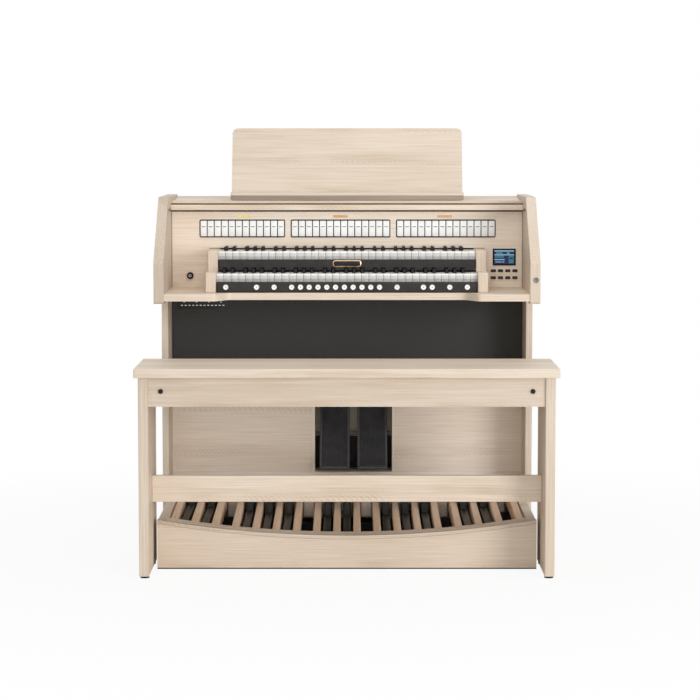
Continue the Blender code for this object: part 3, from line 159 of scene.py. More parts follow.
@contextmanager
def editing(piece: Piece) -> Iterator[None]:
    """Hold a piece in edit mode with nothing of it selected."""
    pick(piece)
    bpy.ops.object.mode_set(mode="EDIT")
    bpy.ops.mesh.select_all(action="DESELECT")
    yield
    bpy.ops.object.mode_set(mode="OBJECT")


def select_faces(piece: Piece, wanted: Callable[[Any], bool]) -> None:
    """Select just the faces that a test picks, in edit mode.

    Args:
        piece: The piece being edited.
        wanted: Tells from a face whether it is wanted.
    """
    bpy.ops.mesh.select_mode(type="FACE")
    shape = bmesh.from_edit_mesh(piece.data)
    for face in shape.faces:
        face.select_set(wanted(face))
    shape.select_flush_mode()
    bmesh.update_edit_mesh(piece.data)


def select_points(piece: Piece, wanted: Callable[[Vector], bool]) -> None:
    """Select just the points whose place a test picks, in edit mode.

    Args:
        piece: The piece being edited.
        wanted: Tells from a point's place whether it is wanted.
    """
    bpy.ops.mesh.select_mode(type="VERT")
    shape = bmesh.from_edit_mesh(piece.data)
    for point in shape.verts:
        point.select_set(wanted(point.co))
    shape.select_flush_mode()
    bmesh.update_edit_mesh(piece.data)


def select_edges(piece: Piece, wanted: Callable[[Vector, Vector], bool]) -> None:
    """Select just the edges whose two ends a test picks, in edit mode.

    Args:
        piece: The piece being edited.
        wanted: Tells from the places of an edge's ends whether it is wanted.
    """
    bpy.ops.mesh.select_mode(type="EDGE")
    shape = bmesh.from_edit_mesh(piece.data)
    for edge in shape.edges:
        edge.select_set(wanted(edge.verts[0].co, edge.verts[1].co))
    shape.select_flush_mode()
    bmesh.update_edit_mesh(piece.data)


def slice_piece(place: Place, normal: Place) -> None:
    """Cut new edges right round the piece being edited, in one plane.

    Args:
        place: A point of the plane.
        normal: The plane's normal.
    """
    bpy.ops.mesh.select_all(action="SELECT")
    bpy.ops.mesh.bisect(plane_co=place, plane_no=normal)
    bpy.ops.mesh.select_all(action="DESELECT")


def faces_front(face: Any) -> bool:
    """Tell whether a face looks at the player."""
    return face.normal.y < -0.9


def runs_back(start: Vector, end: Vector) -> bool:
    """Tell whether an edge runs along Y, from its two ends."""
    return abs(end.y - start.y) > 0.9 * (end - start).length


def apply_modifier(piece: Piece, kind: str, **settings: Any) -> None:
    """Add a modifier to a piece and apply it.

    Args:
        piece: The piece that is changed.
        kind: The modifier's type.
        **settings: The modifier's settings by name.
    """
    pick(piece)
    step = piece.modifiers.new(kind.lower(), kind)
    for setting, value in settings.items():
        setattr(step, setting, value)
    bpy.ops.object.modifier_apply(modifier=step.name)


def ease_edges(piece: Piece, width: float, segments: int = 2, angle: float = 30) -> None:
    """Round the edges of a piece that are sharper than an angle in degrees."""
    apply_modifier(
        piece, "BEVEL", width=width, segments=segments, limit_method="ANGLE",
        angle_limit=math.radians(angle),
    )


def copied(piece: Piece, name: str, move: Place) -> Piece:
    """Copy a piece, with a mesh of its own, to another place.

    Args:
        piece: The piece that is copied.
        name: The copy's name.
        move: How far the copy lies from it.

    Returns:
        The copy.
    """
    twin = piece.copy()
    twin.data = piece.data.copy()
    twin.data.transform(Matrix.Translation(Vector(move)))
    twin.name = name
    bpy.context.collection.objects.link(twin)
    return twin


def joined(name: str, pieces: list[Piece]) -> Piece:
    """Join pieces to one, under one name.

    Args:
        name: The name of what they make.
        pieces: The pieces, of which the first takes in the rest.

    Returns:
        The one piece that is left.
    """
    pick(*pieces)
    if len(pieces) > 1:
        bpy.ops.object.join()
    pieces[0].name = name
    return pieces[0]


def add_node(material: bpy.types.Material, kind: str, inputs: dict[Any, Any] | None = None,
             **settings: Any) -> bpy.types.Node:
    """Add a shader node with its settings and links.

    Args:
        material: The material that the node joins.
        kind: The node's type.
        inputs: For each input, by name or number, its value or the socket that feeds it.
        **settings: The node's own settings by name.

    Returns:
        The new node.
    """
    node = material.node_tree.nodes.new(kind)
    for setting, value in settings.items():
        setattr(node, setting, value)
    for place, value in (inputs or {}).items():
        if isinstance(value, bpy.types.NodeSocket):
            material.node_tree.links.new(value, node.inputs[place])
        else:
            node.inputs[place].default_value = value
    return node


# Numbers of the Mix node's colour inputs and output
MIX_A = 6
MIX_B = 7
MIX_RESULT = 2


@dataclass(frozen=True)
class Finish:
    """A surface finish, which makes its material once and hands out the same one."""

    name: str

    def material(self) -> bpy.types.Material:
        """Return the finish's material.

        Returns:
            The material, made when it is first asked for.
        """
        known = bpy.data.materials.get(self.name)
        if known is not None:
            return known
        made = bpy.data.materials.new(self.name)
        made.use_nodes = True
        made.node_tree.nodes.clear()
        shader = self.shader(made)
        add_node(made, "ShaderNodeOutputMaterial", {"Surface": shader})
        return made

    def shader(self, material: bpy.types.Material) -> bpy.types.NodeSocket:
        """Build the finish's nodes; each kind of finish gives its own."""
        raise NotImplementedError


@dataclass(frozen=True)
class Wood(Finish):
    """Ash, printed on laminate or solid: pale ground, long fine streaks and growth lines.

    The growth lines are arches, nested along the heart line of each plank, where a
    plain-sawn board cuts through the rings' crowns. They come and go along the grain, which
    gives the eye the feathered figure between quiet, straight-grained parts.
    """

    pale: str
    dark: str
    grain: Grain
    seed: float
    streak_mm: float = 4.0
    stretch: float = 50.0
    plank_mm: float = 155.0
    wander_mm: float = 60.0
    line_mm: float = 18.0
    arch_mm: float = 19.0
    feather_mm: float = 28.0
    streaks: float = 0.55
    flames: float = 0.55
    drift: float = 0.09
    roughness: float = 0.46

    def laid(self, material: bpy.types.Material, stretch: float) -> bpy.types.NodeSocket:
        """Lay the pattern along the board.

        Args:
            material: The material that the nodes join.
            stretch: How many times longer than wide the pattern's marks are.

        Returns:
            The place in the pattern of each point of the board.
        """
        squeeze = [1.0, 1.0, 1.0]
        squeeze[self.grain.axis()] = 1 / stretch
        place = add_node(material, "ShaderNodeTexCoord").outputs["Object"]
        start = (self.seed, self.seed * 0.7, self.seed * 1.3)
        return add_node(
            material, "ShaderNodeMapping", {"Vector": place, "Location": start, "Scale": squeeze}
        ).outputs["Vector"]

    def planks(self, material: bpy.types.Material) -> tuple[bpy.types.NodeSocket, bpy.types.NodeSocket]:
        """Find where each point lies in its plank.

        Args:
            material: The material that the nodes join.

        Returns:
            The distance from the heart line and the place along the grain, both in millimetres.
        """
        along = [0.0, 0.0, 0.0]
        along[self.grain.axis()] = 1.0
        across = [1 - share for share in along]
        place = add_node(material, "ShaderNodeTexCoord").outputs["Object"]
        wide, far = [
            add_node(material, "ShaderNodeVectorMath", {0: place, 1: way}, operation="DOT_PRODUCT")
            .outputs["Value"] for way in (across, along)
        ]
        wander = add_node(material, "ShaderNodeTexNoise", {
            "Vector": self.laid(material, 3.0), "Scale": 4.0, "Detail": 1.0,
        }).outputs["Fac"]
        start = add_node(material, "ShaderNodeMath", {
            0: wander, 1: self.wander_mm / self.plank_mm, 2: self.seed,
        }, operation="MULTIPLY_ADD")
        turns = add_node(material, "ShaderNodeMath", {
            0: wide, 1: 1000 / self.plank_mm, 2: start.outputs[0],
        }, operation="MULTIPLY_ADD")
        part = add_node(material, "ShaderNodeMath", {0: turns.outputs[0]}, operation="FRACT")
        off = add_node(material, "ShaderNodeMath", {
            0: part.outputs[0], 1: self.plank_mm, 2: -self.plank_mm / 2,
        }, operation="MULTIPLY_ADD")
        down = add_node(material, "ShaderNodeMath", {0: far, 1: 1000.0}, operation="MULTIPLY")
        return off.outputs[0], down.outputs[0]

    def figure(self, material: bpy.types.Material) -> bpy.types.NodeSocket:
        """Draw the growth lines.

        Args:
            material: The material that the nodes join.

        Returns:
            How dark the lines make each point, 0 to 1.
        """
        off, down = self.planks(material)
        fall = add_node(material, "ShaderNodeMath", {0: off, 1: self.arch_mm}, operation="DIVIDE")
        arch = add_node(material, "ShaderNodeMath", {
            0: fall.outputs[0], 1: fall.outputs[0],
        }, operation="MULTIPLY")
        sway = add_node(material, "ShaderNodeTexNoise", {
            "Vector": self.laid(material, 4.0), "Scale": 20.0, "Detail": 3.0,
        }).outputs["Fac"]
        bent = add_node(material, "ShaderNodeMath", {
            0: sway, 1: 3.0, 2: arch.outputs[0],
        }, operation="MULTIPLY_ADD")
        rings = add_node(material, "ShaderNodeMath", {
            0: down, 1: 1 / self.line_mm, 2: bent.outputs[0],
        }, operation="MULTIPLY_ADD")
        line = add_node(material, "ShaderNodeMath", {0: rings.outputs[0]}, operation="FRACT")
        # The lines show best on one flank of the heart line
        flank = add_node(material, "ShaderNodeMath", {
            0: off, 1: 1 / self.feather_mm, 2: -0.8,
        }, operation="MULTIPLY_ADD")
        spread = add_node(material, "ShaderNodeMath", {
            0: flank.outputs[0], 1: flank.outputs[0],
        }, operation="MULTIPLY")
        near = add_node(material, "ShaderNodeMath", {
            0: 1.0, 1: spread.outputs[0],
        }, operation="SUBTRACT", use_clamp=True)
        zone = add_node(material, "ShaderNodeTexNoise", {
            "Vector": self.laid(material, 2.5), "Scale": 9.0,
        }).outputs["Fac"]
        reach = add_node(material, "ShaderNodeMapRange", {
            "Value": zone, "From Min": 0.42, "From Max": 0.58, "To Max": self.flames,
        }).outputs["Result"]
        shown = add_node(material, "ShaderNodeMath", {
            0: reach, 1: near.outputs[0],
        }, operation="MULTIPLY")
        return add_node(material, "ShaderNodeMath", {
            0: line.outputs[0], 1: shown.outputs[0],
        }, operation="MULTIPLY").outputs[0]

    def shader(self, material: bpy.types.Material) -> bpy.types.NodeSocket:
        """Build the nodes of the wood.

        Args:
            material: The material that they join.

        Returns:
            The shader's output.
        """
        straight = self.laid(material, self.stretch)
        # Pores are 0.3 mm across in the board and drawn some 2 mm across, so that they show
        streak = add_node(material, "ShaderNodeTexNoise", {
            "Vector": straight, "Scale": 1000 / self.streak_mm, "Detail": 4.0, "Roughness": 0.62,
        }).outputs["Fac"]
        soft = add_node(material, "ShaderNodeMapRange", {
            "Value": streak, "From Min": 0.30, "From Max": 0.72, "To Max": self.streaks,
        }).outputs["Result"]
        cloud = add_node(material, "ShaderNodeTexNoise", {
            "Vector": self.laid(material, 3.0), "Scale": 6.0, "Detail": 1.0,
        }).outputs["Fac"]
        slow = add_node(material, "ShaderNodeMapRange", {
            "Value": cloud, "From Min": 0.35, "From Max": 0.65, "To Min": -self.drift, "To Max": self.drift,
        }).outputs["Result"]
        ground = add_node(material, "ShaderNodeMath", {0: soft, 1: slow}, operation="ADD")
        depth = add_node(material, "ShaderNodeMath", {
            0: ground.outputs[0], 1: self.figure(material),
        }, operation="ADD", use_clamp=True)
        tone = add_node(material, "ShaderNodeMix", {
            "Factor": depth.outputs[0], MIX_A: linear(self.pale), MIX_B: linear(self.dark),
        }, data_type="RGBA")
        sheen = add_node(material, "ShaderNodeMapRange", {
            "Value": streak, "To Min": self.roughness - 0.06, "To Max": self.roughness + 0.08,
        })
        relief = add_node(material, "ShaderNodeBump", {
            "Height": streak, "Strength": 0.25, "Distance": 0.0003,
        })
        return add_node(material, "ShaderNodeBsdfPrincipled", {
            "Base Color": tone.outputs[MIX_RESULT],
            "Roughness": sheen.outputs["Result"],
            "Normal": relief.outputs["Normal"],
            "IOR": 1.5,
        }).outputs[0]


@dataclass(frozen=True)
class Moulded(Finish):
    """A moulded or coated surface: even colour that drifts a little, and a fine skin texture."""

    colour: str
    worn: str
    roughness: float = 0.4
    grit_mm: float = 0.8
    relief: float = 0.15
    metallic: float = 0.0
    coat: float = 0.0
    drift_mm: float = 30.0
    gloss: float = 0.5

    def shader(self, material: bpy.types.Material) -> bpy.types.NodeSocket:
        """Build the nodes of the moulding.

        Args:
            material: The material that they join.

        Returns:
            The shader's output.
        """
        place = add_node(material, "ShaderNodeTexCoord").outputs["Object"]
        cloud = add_node(material, "ShaderNodeTexNoise", {
            "Vector": place, "Scale": 1000 / self.drift_mm, "Detail": 2.0,
        }).outputs["Fac"]
        grit = add_node(material, "ShaderNodeTexNoise", {
            "Vector": place, "Scale": 1000 / self.grit_mm, "Detail": 2.0,
        }).outputs["Fac"]
        drift = add_node(material, "ShaderNodeMapRange", {
            "Value": cloud, "From Min": 0.35, "From Max": 0.70,
        }).outputs["Result"]
        tone = add_node(material, "ShaderNodeMix", {
            "Factor": drift, MIX_A: linear(self.colour), MIX_B: linear(self.worn),
        }, data_type="RGBA")
        sheen = add_node(material, "ShaderNodeMapRange", {
            "Value": cloud, "To Min": self.roughness - 0.05, "To Max": self.roughness + 0.05,
        })
        skin = add_node(material, "ShaderNodeBump", {
            "Height": grit, "Strength": self.relief, "Distance": 0.0002,
        })
        sockets = {
            "Base Color": tone.outputs[MIX_RESULT],
            "Roughness": sheen.outputs["Result"],
            "Normal": skin.outputs["Normal"],
            "Metallic": self.metallic,
            "Coat Weight": self.coat,
            "Specular IOR Level": self.gloss,
        }
        return add_node(material, "ShaderNodeBsdfPrincipled", sockets).outputs[0]


@dataclass(frozen=True)
class Cloth(Finish):
    """Open plain-woven cloth: two sets of round threads that cross, with dark holes between."""

    thread: str
    gap: str
    pitch_mm: float = 2.4
    across: tuple[str, str] = ("X", "Z")

    def shader(self, material: bpy.types.Material) -> bpy.types.NodeSocket:
        """Build the nodes of the weave.

        Args:
            material: The material that they join.

        Returns:
            The shader's output.
        """
        place = add_node(material, "ShaderNodeTexCoord").outputs["Object"]
        # A wave of scale s turns every 0.314 / s metres
        turn = 0.314 * 1000 / self.pitch_mm
        warp, weft = [
            add_node(
                material, "ShaderNodeTexWave",
                {"Vector": place, "Scale": turn, "Distortion": 0.4, "Detail": 1.0, "Detail Scale": 2.0},
                bands_direction=axis,
            ).outputs["Fac"]
            for axis in self.across
        ]
        weave = add_node(material, "ShaderNodeMath", {0: warp, 1: weft}, operation="MULTIPLY")
        slub = add_node(material, "ShaderNodeTexNoise", {
            "Vector": place, "Scale": 500.0, "Detail": 1.0,
        }).outputs["Fac"]
        body = add_node(material, "ShaderNodeMath", {
            0: weave.outputs[0], 1: slub,
        }, operation="MULTIPLY")
        tone = add_node(material, "ShaderNodeMix", {
            "Factor": body.outputs[0], MIX_A: linear(self.gap), MIX_B: linear(self.thread),
        }, data_type="RGBA")
        relief = add_node(material, "ShaderNodeBump", {
            "Height": weave.outputs[0], "Strength": 0.6, "Distance": 0.0006,
        })
        return add_node(material, "ShaderNodeBsdfPrincipled", {
            "Base Color": tone.outputs[MIX_RESULT],
            "Roughness": 0.9,
            "Normal": relief.outputs["Normal"],
            "Sheen Weight": 0.15,
        }).outputs[0]


@dataclass(frozen=True)
class Metal(Finish):
    """Metal that a lathe or a polishing belt has left with fine lines along one way."""

    colour: str
    dull: str
    roughness: float = 0.28
    line_mm: float = 0.5
    brushed: Grain = Grain.ACROSS

    def shader(self, material: bpy.types.Material) -> bpy.types.NodeSocket:
        """Build the nodes of the metal.

        Args:
            material: The material that they join.

        Returns:
            The shader's output.
        """
        squeeze = [1.0, 1.0, 1.0]
        squeeze[self.brushed.axis()] = 0.05
        place = add_node(material, "ShaderNodeTexCoord").outputs["Object"]
        drawn = add_node(material, "ShaderNodeMapping", {"Vector": place, "Scale": squeeze})
        lines = add_node(material, "ShaderNodeTexNoise", {
            "Vector": drawn.outputs["Vector"], "Scale": 1000 / self.line_mm, "Detail": 2.0,
        }).outputs["Fac"]
        tone = add_node(material, "ShaderNodeMix", {
            "Factor": lines, MIX_A: linear(self.colour), MIX_B: linear(self.dull),
        }, data_type="RGBA")
        sheen = add_node(material, "ShaderNodeMapRange", {
            "Value": lines, "To Min": self.roughness - 0.06, "To Max": self.roughness + 0.10,
        })
        relief = add_node(material, "ShaderNodeBump", {
            "Height": lines, "Strength": 0.1, "Distance": 0.0001,
        })
        return add_node(material, "ShaderNodeBsdfPrincipled", {
            "Base Color": tone.outputs[MIX_RESULT],
            "Metallic": 1.0,
            "Roughness": sheen.outputs["Result"],
            "Normal": relief.outputs["Normal"],
        }).outputs[0]


@dataclass(frozen=True)
class LitScreen(Finish):
    """A backlit liquid crystal behind glass: its own light, cut by the lines of its cells."""

    colour: str
    glass: str = "05070B"
    strength: float = 1.0
    cell_mm: float = 1.0

    def shader(self, material: bpy.types.Material) -> bpy.types.NodeSocket:
        """Build the nodes of the screen.

        Args:
            material: The material that they join.

        Returns:
            The shader's output.
        """
        place = add_node(material, "ShaderNodeTexCoord").outputs["Object"]
        rows = add_node(material, "ShaderNodeTexWave", {
            "Vector": place, "Scale": 0.314 * 1000 / self.cell_mm,
        }, bands_direction="Z").outputs["Fac"]
        glow = add_node(material, "ShaderNodeTexNoise", {"Vector": place, "Scale": 60.0}).outputs["Fac"]
        light = add_node(material, "ShaderNodeMath", {0: rows, 1: glow}, operation="MULTIPLY")
        level = add_node(material, "ShaderNodeMapRange", {
            "Value": light.outputs[0], "To Min": self.strength * 0.8, "To Max": self.strength * 1.2,
        })
        return add_node(material, "ShaderNodeBsdfPrincipled", {
            "Base Color": linear(self.glass),
            "Roughness": 0.25,
            "Specular IOR Level": 0.15,
            "Emission Color": linear(self.colour),
            "Emission Strength": level.outputs["Result"],
        }).outputs[0]


def ash(name: str, grain: Grain, seed: float, **changes: float) -> Wood:
    """Choose the ash laminate of one board.

    Args:
        name: The material's name.
        grain: The way that the grain runs.
        seed: Where in the pattern the board was cut.
        **changes: Any of the wood's numbers that differ.

    Returns:
        The finish.
    """
    return Wood(name, "E9DAC8", "C2AA8F", grain, seed, **changes)


# Melamine-faced board printed as bleached ash; a satin print with long fine lines
ASH_ROOF = ash("ash_laminate_roof", Grain.ACROSS, 3.1)
# The fascia, knee panel, seat, right cheek, roof band, legs, apron and keybed take their own copies of the print, each
# lighter or darker as painted light and shade for that board
ASH_FASCIA = Wood("ash_laminate_fascia", "F4E6D6", "CFBAA0", Grain.ACROSS, 11.7)
ASH_KNEE = Wood("ash_laminate_knee_panel", "F9ECDD", "CFB99F", Grain.ACROSS, 5.3, flames=0.5)
ASH_SEAT = Wood("ash_laminate_seat", "E7D9C8", "C1AA90", Grain.ACROSS, 17.9)
ASH_RAIL = ash("ash_laminate_rail", Grain.ACROSS, 23.3)
ASH_KICK = Wood("ash_laminate_kick_board", "DFCFBD", "B9A186", Grain.ACROSS, 29.5)
# The heel rail's copy is paler: painted light that offsets the shade it stands in
ASH_HEEL_LIT = Wood("ash_laminate_heel_rail_painted_light", "F8EBDB", "D5C1A8", Grain.ACROSS, 63.1)
ASH_DESK = Wood("ash_laminate_desk", "D7C9B8", "B29C84", Grain.ACROSS, 37.1)
ASH_SLATS = ash("ash_veneer_slats", Grain.ACROSS, 41.9)
ASH_CHEEK = Wood("ash_laminate_cheek", "DACBBA", "B59E85", Grain.UP, 7.7)
ASH_SIDE = Wood("ash_laminate_side", "E0D2C0", "BBA38A", Grain.UP, 67.9)
ASH_BLOCK = Wood("ash_laminate_key_block", "DFD0BF", "B9A289", Grain.UP, 33.1)
# The left cheek's copy is darker than the right cheek's: painted shade for the light that falls from the player's
# right
ASH_LEFT_CHEEK_SHADED = Wood("ash_laminate_left_cheek_painted_shade", "CEC0B0", "A99379", Grain.UP, 91.7)
ROOF_BAND = Wood("ash_roof_edge_band", "D9CAB8", "B5A087", Grain.ACROSS, 71.3)
ASH_LEG = Wood("ash_laminate_leg", "DCCDBB", "B79F85", Grain.UP, 13.1)
ASH_APRON = Wood("ash_laminate_apron", "DCCDBB", "B79F85", Grain.ACROSS, 51.3)
ASH_KEYBED = Wood("ash_laminate_keybed", "E3D5C4", "C0A98F", Grain.ACROSS, 57.1)
ASH_BACK = ash("ash_laminate_back", Grain.UP, 19.3)
# Raw particle board edge of the case's inside, duller than the laminate
INNER_BOARD = Wood("ash_inner_board", "A99C8B", "7E705E", Grain.ACROSS, 2.3, roughness=0.6)

# Umber strips of painted shade: under the music desk's ledge lip, along the kick board's groove and at the foot of the
# swell pedals' recess
SHADE_BAND = Wood("umber_painted_shade_band", "998A7A", "806F60", Grain.ACROSS, 3.7)
# Pale strips at the sides of the knee panel's cut-out for the swell pedals: a painted highlight where its edges catch
# the light
HIGHLIGHT_BAND = Wood("pale_painted_highlight_band", "FBF3E8", "E2D3C1", Grain.UP, 8.9)
# The same print on the toe board, which stands in the pedals' shade; paler than the print, as painted light against
# that shade
TOE_BOARD_LAMINATE = Wood("ash_laminate_toe_board", "F6EBDD", "D2C3B0", Grain.ACROSS, 47.3)

# Lacquered maple of the pedal naturals, warmer and closer than the case
MAPLE_PEDAL = Wood(
    "lacquered_maple_pedal", "F6D8BC", "D6B08C", Grain.BACK, 4.1, stretch=20.0, flames=0.15,
    roughness=0.35,
)
# Injection-moulded acrylic keys with a gloss that dulls on their fronts
WHITE_KEY = Moulded("white_key_acrylic", "F4F3EF", "EAE8E2", roughness=0.22, grit_mm=1.5, relief=0.05)
# Their fronts: a grey painted shade under the keys' edge, and a darker painted shade on the recessed foot
KEY_FRONT_SHADE = Moulded("white_key_front_painted_shade", "DAD8D4", "D0CEC9", roughness=0.4, grit_mm=1.5)
KEY_FOOT_SHADE = Moulded("white_key_foot_painted_shade", "C8C6C2", "BCBAB5", roughness=0.5, grit_mm=1.5)
BLACK_KEY = Moulded("black_key_phenolic", "0F0E0D", "161413", roughness=0.42, grit_mm=0.9, gloss=0.15)
# Tab plastic is whiter than the keys and has a fine satin skin
TAB_PLASTIC = Moulded("white_tab_abs", "F6F6F4", "EEEEEB", roughness=0.30, grit_mm=0.7)
TAB_INK = Moulded("tab_ink_grey", "38393C", "48494C", roughness=0.6, grit_mm=0.4)
# Satin black ABS of bezels, buttons and rings
BLACK_ABS = Moulded("satin_black_abs", "1B1A19", "242322", roughness=0.38, grit_mm=0.6, gloss=0.2)
# Powder-coated steel strip of the keyslips, a fine orange peel
BLACK_RAIL = Moulded("powder_coat_keyslip", "2E2C2A", "373533", roughness=0.5, grit_mm=1.2, relief=0.35,
    gloss=0.2,
)
PISTON_WHITE = Moulded("thumb_piston_polystyrene", "F7F6F1", "ECEAE4", roughness=0.18, grit_mm=1.5)
# Ebonised beech caps of the pedal sharps, lacquered to a soft gloss
PEDAL_CAP = Moulded("ebonised_beech_cap", "1D1B19", "28241F", roughness=0.40, grit_mm=1.0, gloss=0.2)
PEDAL_FELT = Moulded("pedal_black_felt", "1A1A1B", "242425", roughness=0.95, grit_mm=1.6, relief=0.6)
# Moulded rubber of the swell pedals, dull with a fine pebbled skin
RUBBER = Moulded("swell_pedal_rubber", "27272A", "343437", roughness=0.62, grit_mm=1.8, relief=0.5)
RUBBER_RIM = Moulded("swell_pedal_rubber_rim", "454549", "505055", roughness=0.5, grit_mm=1.5)
# Umber on the expression shaft: painted shade, so that it looks like the shaded recess behind it
SHAFT_SHADE_PAINT = Moulded("umber_painted_shade_steel", "7A6D60", "6C6054", roughness=0.6, grit_mm=1.0)
# Black of the swell pedals' recess and the case's bottom board: painted shade of those deep recesses
RECESS_SHADE_BOARD = Moulded("recess_board_painted_shade", "2A2826", "383430", roughness=0.75, grit_mm=2.0, relief=0.4)
GRILLE_CLOTH = Cloth("grille_cloth_woven_polyester", "949290", "1A1A1A")
# Raw inner board behind the swell pedals, which the recess's shade turns brown
RECESS_BACK = Wood("ash_recess_back", "E2D7BD", "C6B99D", Grain.ACROSS, 61.7, roughness=0.6)
# Felt strips whose dark paints the shade in the gaps round the roll-top, at the fascia's joints, over the upper
# manual's window and beside the rails; the darkest also rims the tab bezels
UMBER_SHADE_FELT = Moulded("umber_painted_shade_felt", "857668", "78695C", roughness=0.95, grit_mm=1.2, relief=0.6)
BROWN_SHADE_FELT = Moulded("brown_painted_shade_felt", "564A40", "493E36", roughness=0.95, grit_mm=1.2, relief=0.6)
DARK_FELT_AND_SHADE = Moulded("dark_felt_and_painted_shade", "171412", "1F1A17", roughness=0.95, grit_mm=1.2, relief=0.6)
# Black rubber of the bench's glides
GLIDE_RUBBER = Moulded("glide_rubber", "161616", "202020", roughness=0.7, grit_mm=1.2)
NICKEL = Metal("nickel_plated_brass", "C9C7C2", "A19F9A")
ZINC = Metal("zinc_plated_steel", "A9ABAC", "86888A", roughness=0.36)
BLACK_STEEL = Metal("burnished_black_steel", "3A3835", "22201E", roughness=0.42)
BRASS = Metal("satin_copper_plate", "EBC9A0", "CFA57C", roughness=0.34)
WORN_NICKEL = Metal("worn_nickel_plate", "908D87", "716E69", roughness=0.5)
PALE_FOIL = Moulded("pale_gold_foil", "F2E796", "E4D573", roughness=0.35, grit_mm=0.8)
WARM_FOIL = Moulded("copper_gold_foil", "E6B480", "D79C62", roughness=0.35, grit_mm=0.8)
LCD_DARK = LitScreen("lcd_navy", "0E1E50")
LCD_MID = LitScreen("lcd_teal", "386E7E")
LCD_PALE = LitScreen("lcd_pale_blue", "7FB0C4")
SPEAKER_CONE = Moulded("pressed_paper_cone", "232323", "2F2E2C", roughness=0.85, grit_mm=2.0, relief=0.6)
CONTACT_GREY = Moulded("glass_filled_nylon", "2B2B2C", "353536", roughness=0.55, grit_mm=0.9)


def dress(node: str, finish: Finish) -> None:
    """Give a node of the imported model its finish, in every material slot.

    Args:
        node: The node's name.
        finish: What it is finished in.
    """
    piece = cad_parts[node]
    piece.data.materials.clear()
    piece.data.materials.append(finish.material())
    LOG.info("dressed %s in %s", node, finish.name)


def finish_piece(piece: Piece, finish: Finish, body: str, slot: str, *nodes: str,
                 smooth: float = 35) -> Piece:
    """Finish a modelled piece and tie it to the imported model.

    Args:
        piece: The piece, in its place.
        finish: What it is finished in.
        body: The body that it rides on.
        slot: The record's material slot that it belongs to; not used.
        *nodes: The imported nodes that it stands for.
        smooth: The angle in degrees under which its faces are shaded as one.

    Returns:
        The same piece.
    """
    pick(piece)
    bpy.ops.object.shade_smooth_by_angle(angle=math.radians(smooth))
    piece.data.materials.clear()
    piece.data.materials.append(finish.material())
    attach(piece, body)
    if nodes:
        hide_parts(*nodes)
    LOG.info("built %s in %s on %s", piece.name, finish.name, body)
    return piece


def part_finish(piece: Piece, finish: Finish, wanted: Callable[[Any], bool]) -> None:
    """Give some faces of a finished piece a finish of their own.

    Args:
        piece: The piece.
        finish: What those faces are finished in.
        wanted: Tells from a face whether it is one of them.
    """
    number = len(piece.data.materials)
    piece.data.materials.append(finish.material())
    for face in piece.data.polygons:
        if wanted(face):
            face.material_index = number




@dataclass
class Case:
    """The console's case, roll-top, music desk and loudspeakers, dressed as they stand."""

    finishes: dict[str, Finish]

    def build(self) -> None:
        """Dress each board in its own finish."""
        for node, finish in self.finishes.items():
            dress(node, finish)


